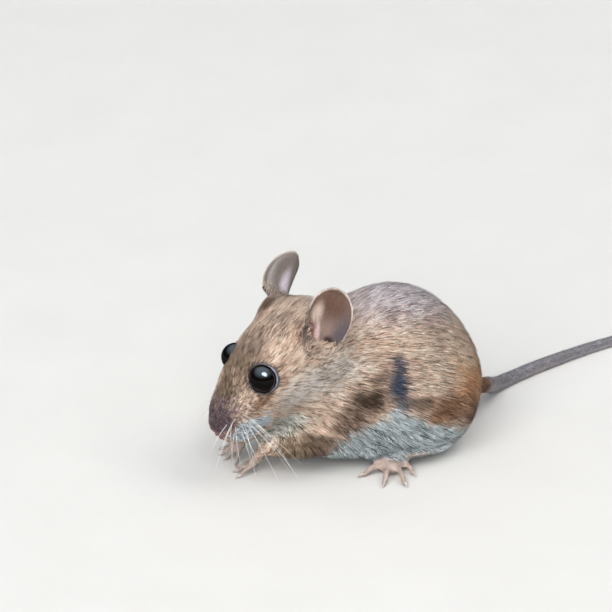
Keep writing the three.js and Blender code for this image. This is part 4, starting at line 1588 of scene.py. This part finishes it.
def makeWhiskers(skin):
    chance = np.random.default_rng(whiskerSet["seed"])
    steps = whiskerSet["sections"]
    shares = np.linspace(0, 1, steps + 1)
    radii = whiskerSet["root"] + (whiskerSet["tip"] - whiskerSet["root"]) * shares
    shortest, longest = whiskerSet["length"]
    bed, reach, uneven = whiskerSet["bed"], whiskerSet["bedReach"], whiskerSet["unevenRoot"]
    leave, fall = whiskerSet["leave"], whiskerSet["fall"]
    parts = []
    for side, row, back in whiskerRows():
        forward = bed[0] + reach[0] * back + chance.uniform(-uneven, uneven)
        height = bed[2] + reach[2] * row + chance.uniform(-uneven, uneven)
        near = skin.tree.find(headPoint(forward, side * (bed[1] + reach[1] * back), height))[1]
        base, out = skin.points[near], skin.normals[near]
        span = shortest + (longest - shortest) * back
        span *= chance.uniform(*whiskerSet["unevenLength"]) * (1 if side > 0 else whiskerSet["farShare"])
        stray = chance.normal(0, whiskerSet["stray"], 3)
        start = out + headX * (leave["forward"] - leave["turnBack"] * back)
        start = unit(start + headZ * (leave["rise"] - leave["rowDrop"] * row) + stray)
        finish = [fall["forward"] - fall["turnBack"] * back, fall["outward"] * side,
                  -fall["drop"] - fall["rowDrop"] * row]
        finish = unit(np.array(finish) + stray)
        line = [base - out * whiskerSet["rootDepth"]]
        for share in shares[:-1]:
            heading = unit(start * (1 - share) * 0.5 + finish * (0.5 + share))
            line.append(line[-1] + heading * span / steps)
        line = np.array(line)
        line[:, 2] = np.maximum(line[:, 2], whiskerSet["floorClear"])
        parts.append(tube(line, radii))
    material = speckled("whiskerHair", **whiskerHair)
    addPiece("whiskers", meshFrom("whiskers", *joined(parts)), material)


# claws: each kind of foot lists its toes' knuckles and tips, inner toe first
clawSet = {
    "reach": 1.15,
    "handShare": 0.85,
    "radius": 0.3,
    "lift": {"hind": 0.66, "front": 0.5},
    "hind": [((9.6, -1.8), (11.2, -3.4)), ((11.8, -1.3), (14.8, -3.6)), ((12.3, 0.1), (16.4, 1.1)),
             ((11.6, 1.3), (14.9, 4.3)), ((9.2, 1.8), (10.6, 3.8))],
    "front": [((0.2, -1.3), (1.4, -2.7)), ((0.4, -0.45), (2.4, -1.0)), ((0.4, 0.45), (2.5, 0.75)),
              ((0.2, 1.3), (1.6, 2.5))],
    "feet": [("hind", (-4.6, 2.6), 1, 45), ("hind", (-6.5, -4.6), -1, 28),  # place, side and outward turn
             ("front", (25.3, 2.6), 1, -34), ("front", (25.3, -4.8), -1, -4)],
}
clawHorn = {"dark": fromHex("8d7f78"), "light": fromHex("cfc4bb"), "scale": 900, "roughness": 0.35}


def makeClaws():
    parts = []
    shares = np.linspace(0, 1, 7)
    radii = clawSet["radius"] * (1 - shares ** 1.5 * 0.85)
    for row in clawSet["feet"]:
        kind = row[0]
        place, ahead, outward = footFrame(*row)
        heights = clawSet["lift"][kind] * (0.95 + 0.35 * shares - 1.05 * shares ** 2)
        reach = clawSet["reach"] * (1.0 if kind == "hind" else clawSet["handShare"])
        for toe in clawSet[kind]:
            start, end = [bodyPoint(*place) + ahead * x + outward * y for x, y in toe]
            line = end + unit(end - start) * (shares * reach - 0.12)[:, None]
            line[:, 2] += heights
            parts.append(tube(line, radii, 8))
    material = speckled("clawHorn", **clawHorn)
    addPiece("claws", meshFrom("claws", *joined(parts)), material)


makeCamera()
makeFloor()
makeWorld()
makeLamps()
print("camera, floor and lights")
markingsAndPaintedLight = makeMarkingsAndPaintedLight()
earPaint = makeEarGroup()
skin = buildSkin()
skinPiece(skin, makeSkinMaterial(markingsAndPaintedLight, earPaint))
print("skin")
makeCoat(skin, markingsAndPaintedLight, earPaint)
makeEyes()
makeClaws()
makeWhiskers(skin)
print("coat, eyes, claws and whiskers")

bpy.context.scene.view_settings.view_transform = "Standard"
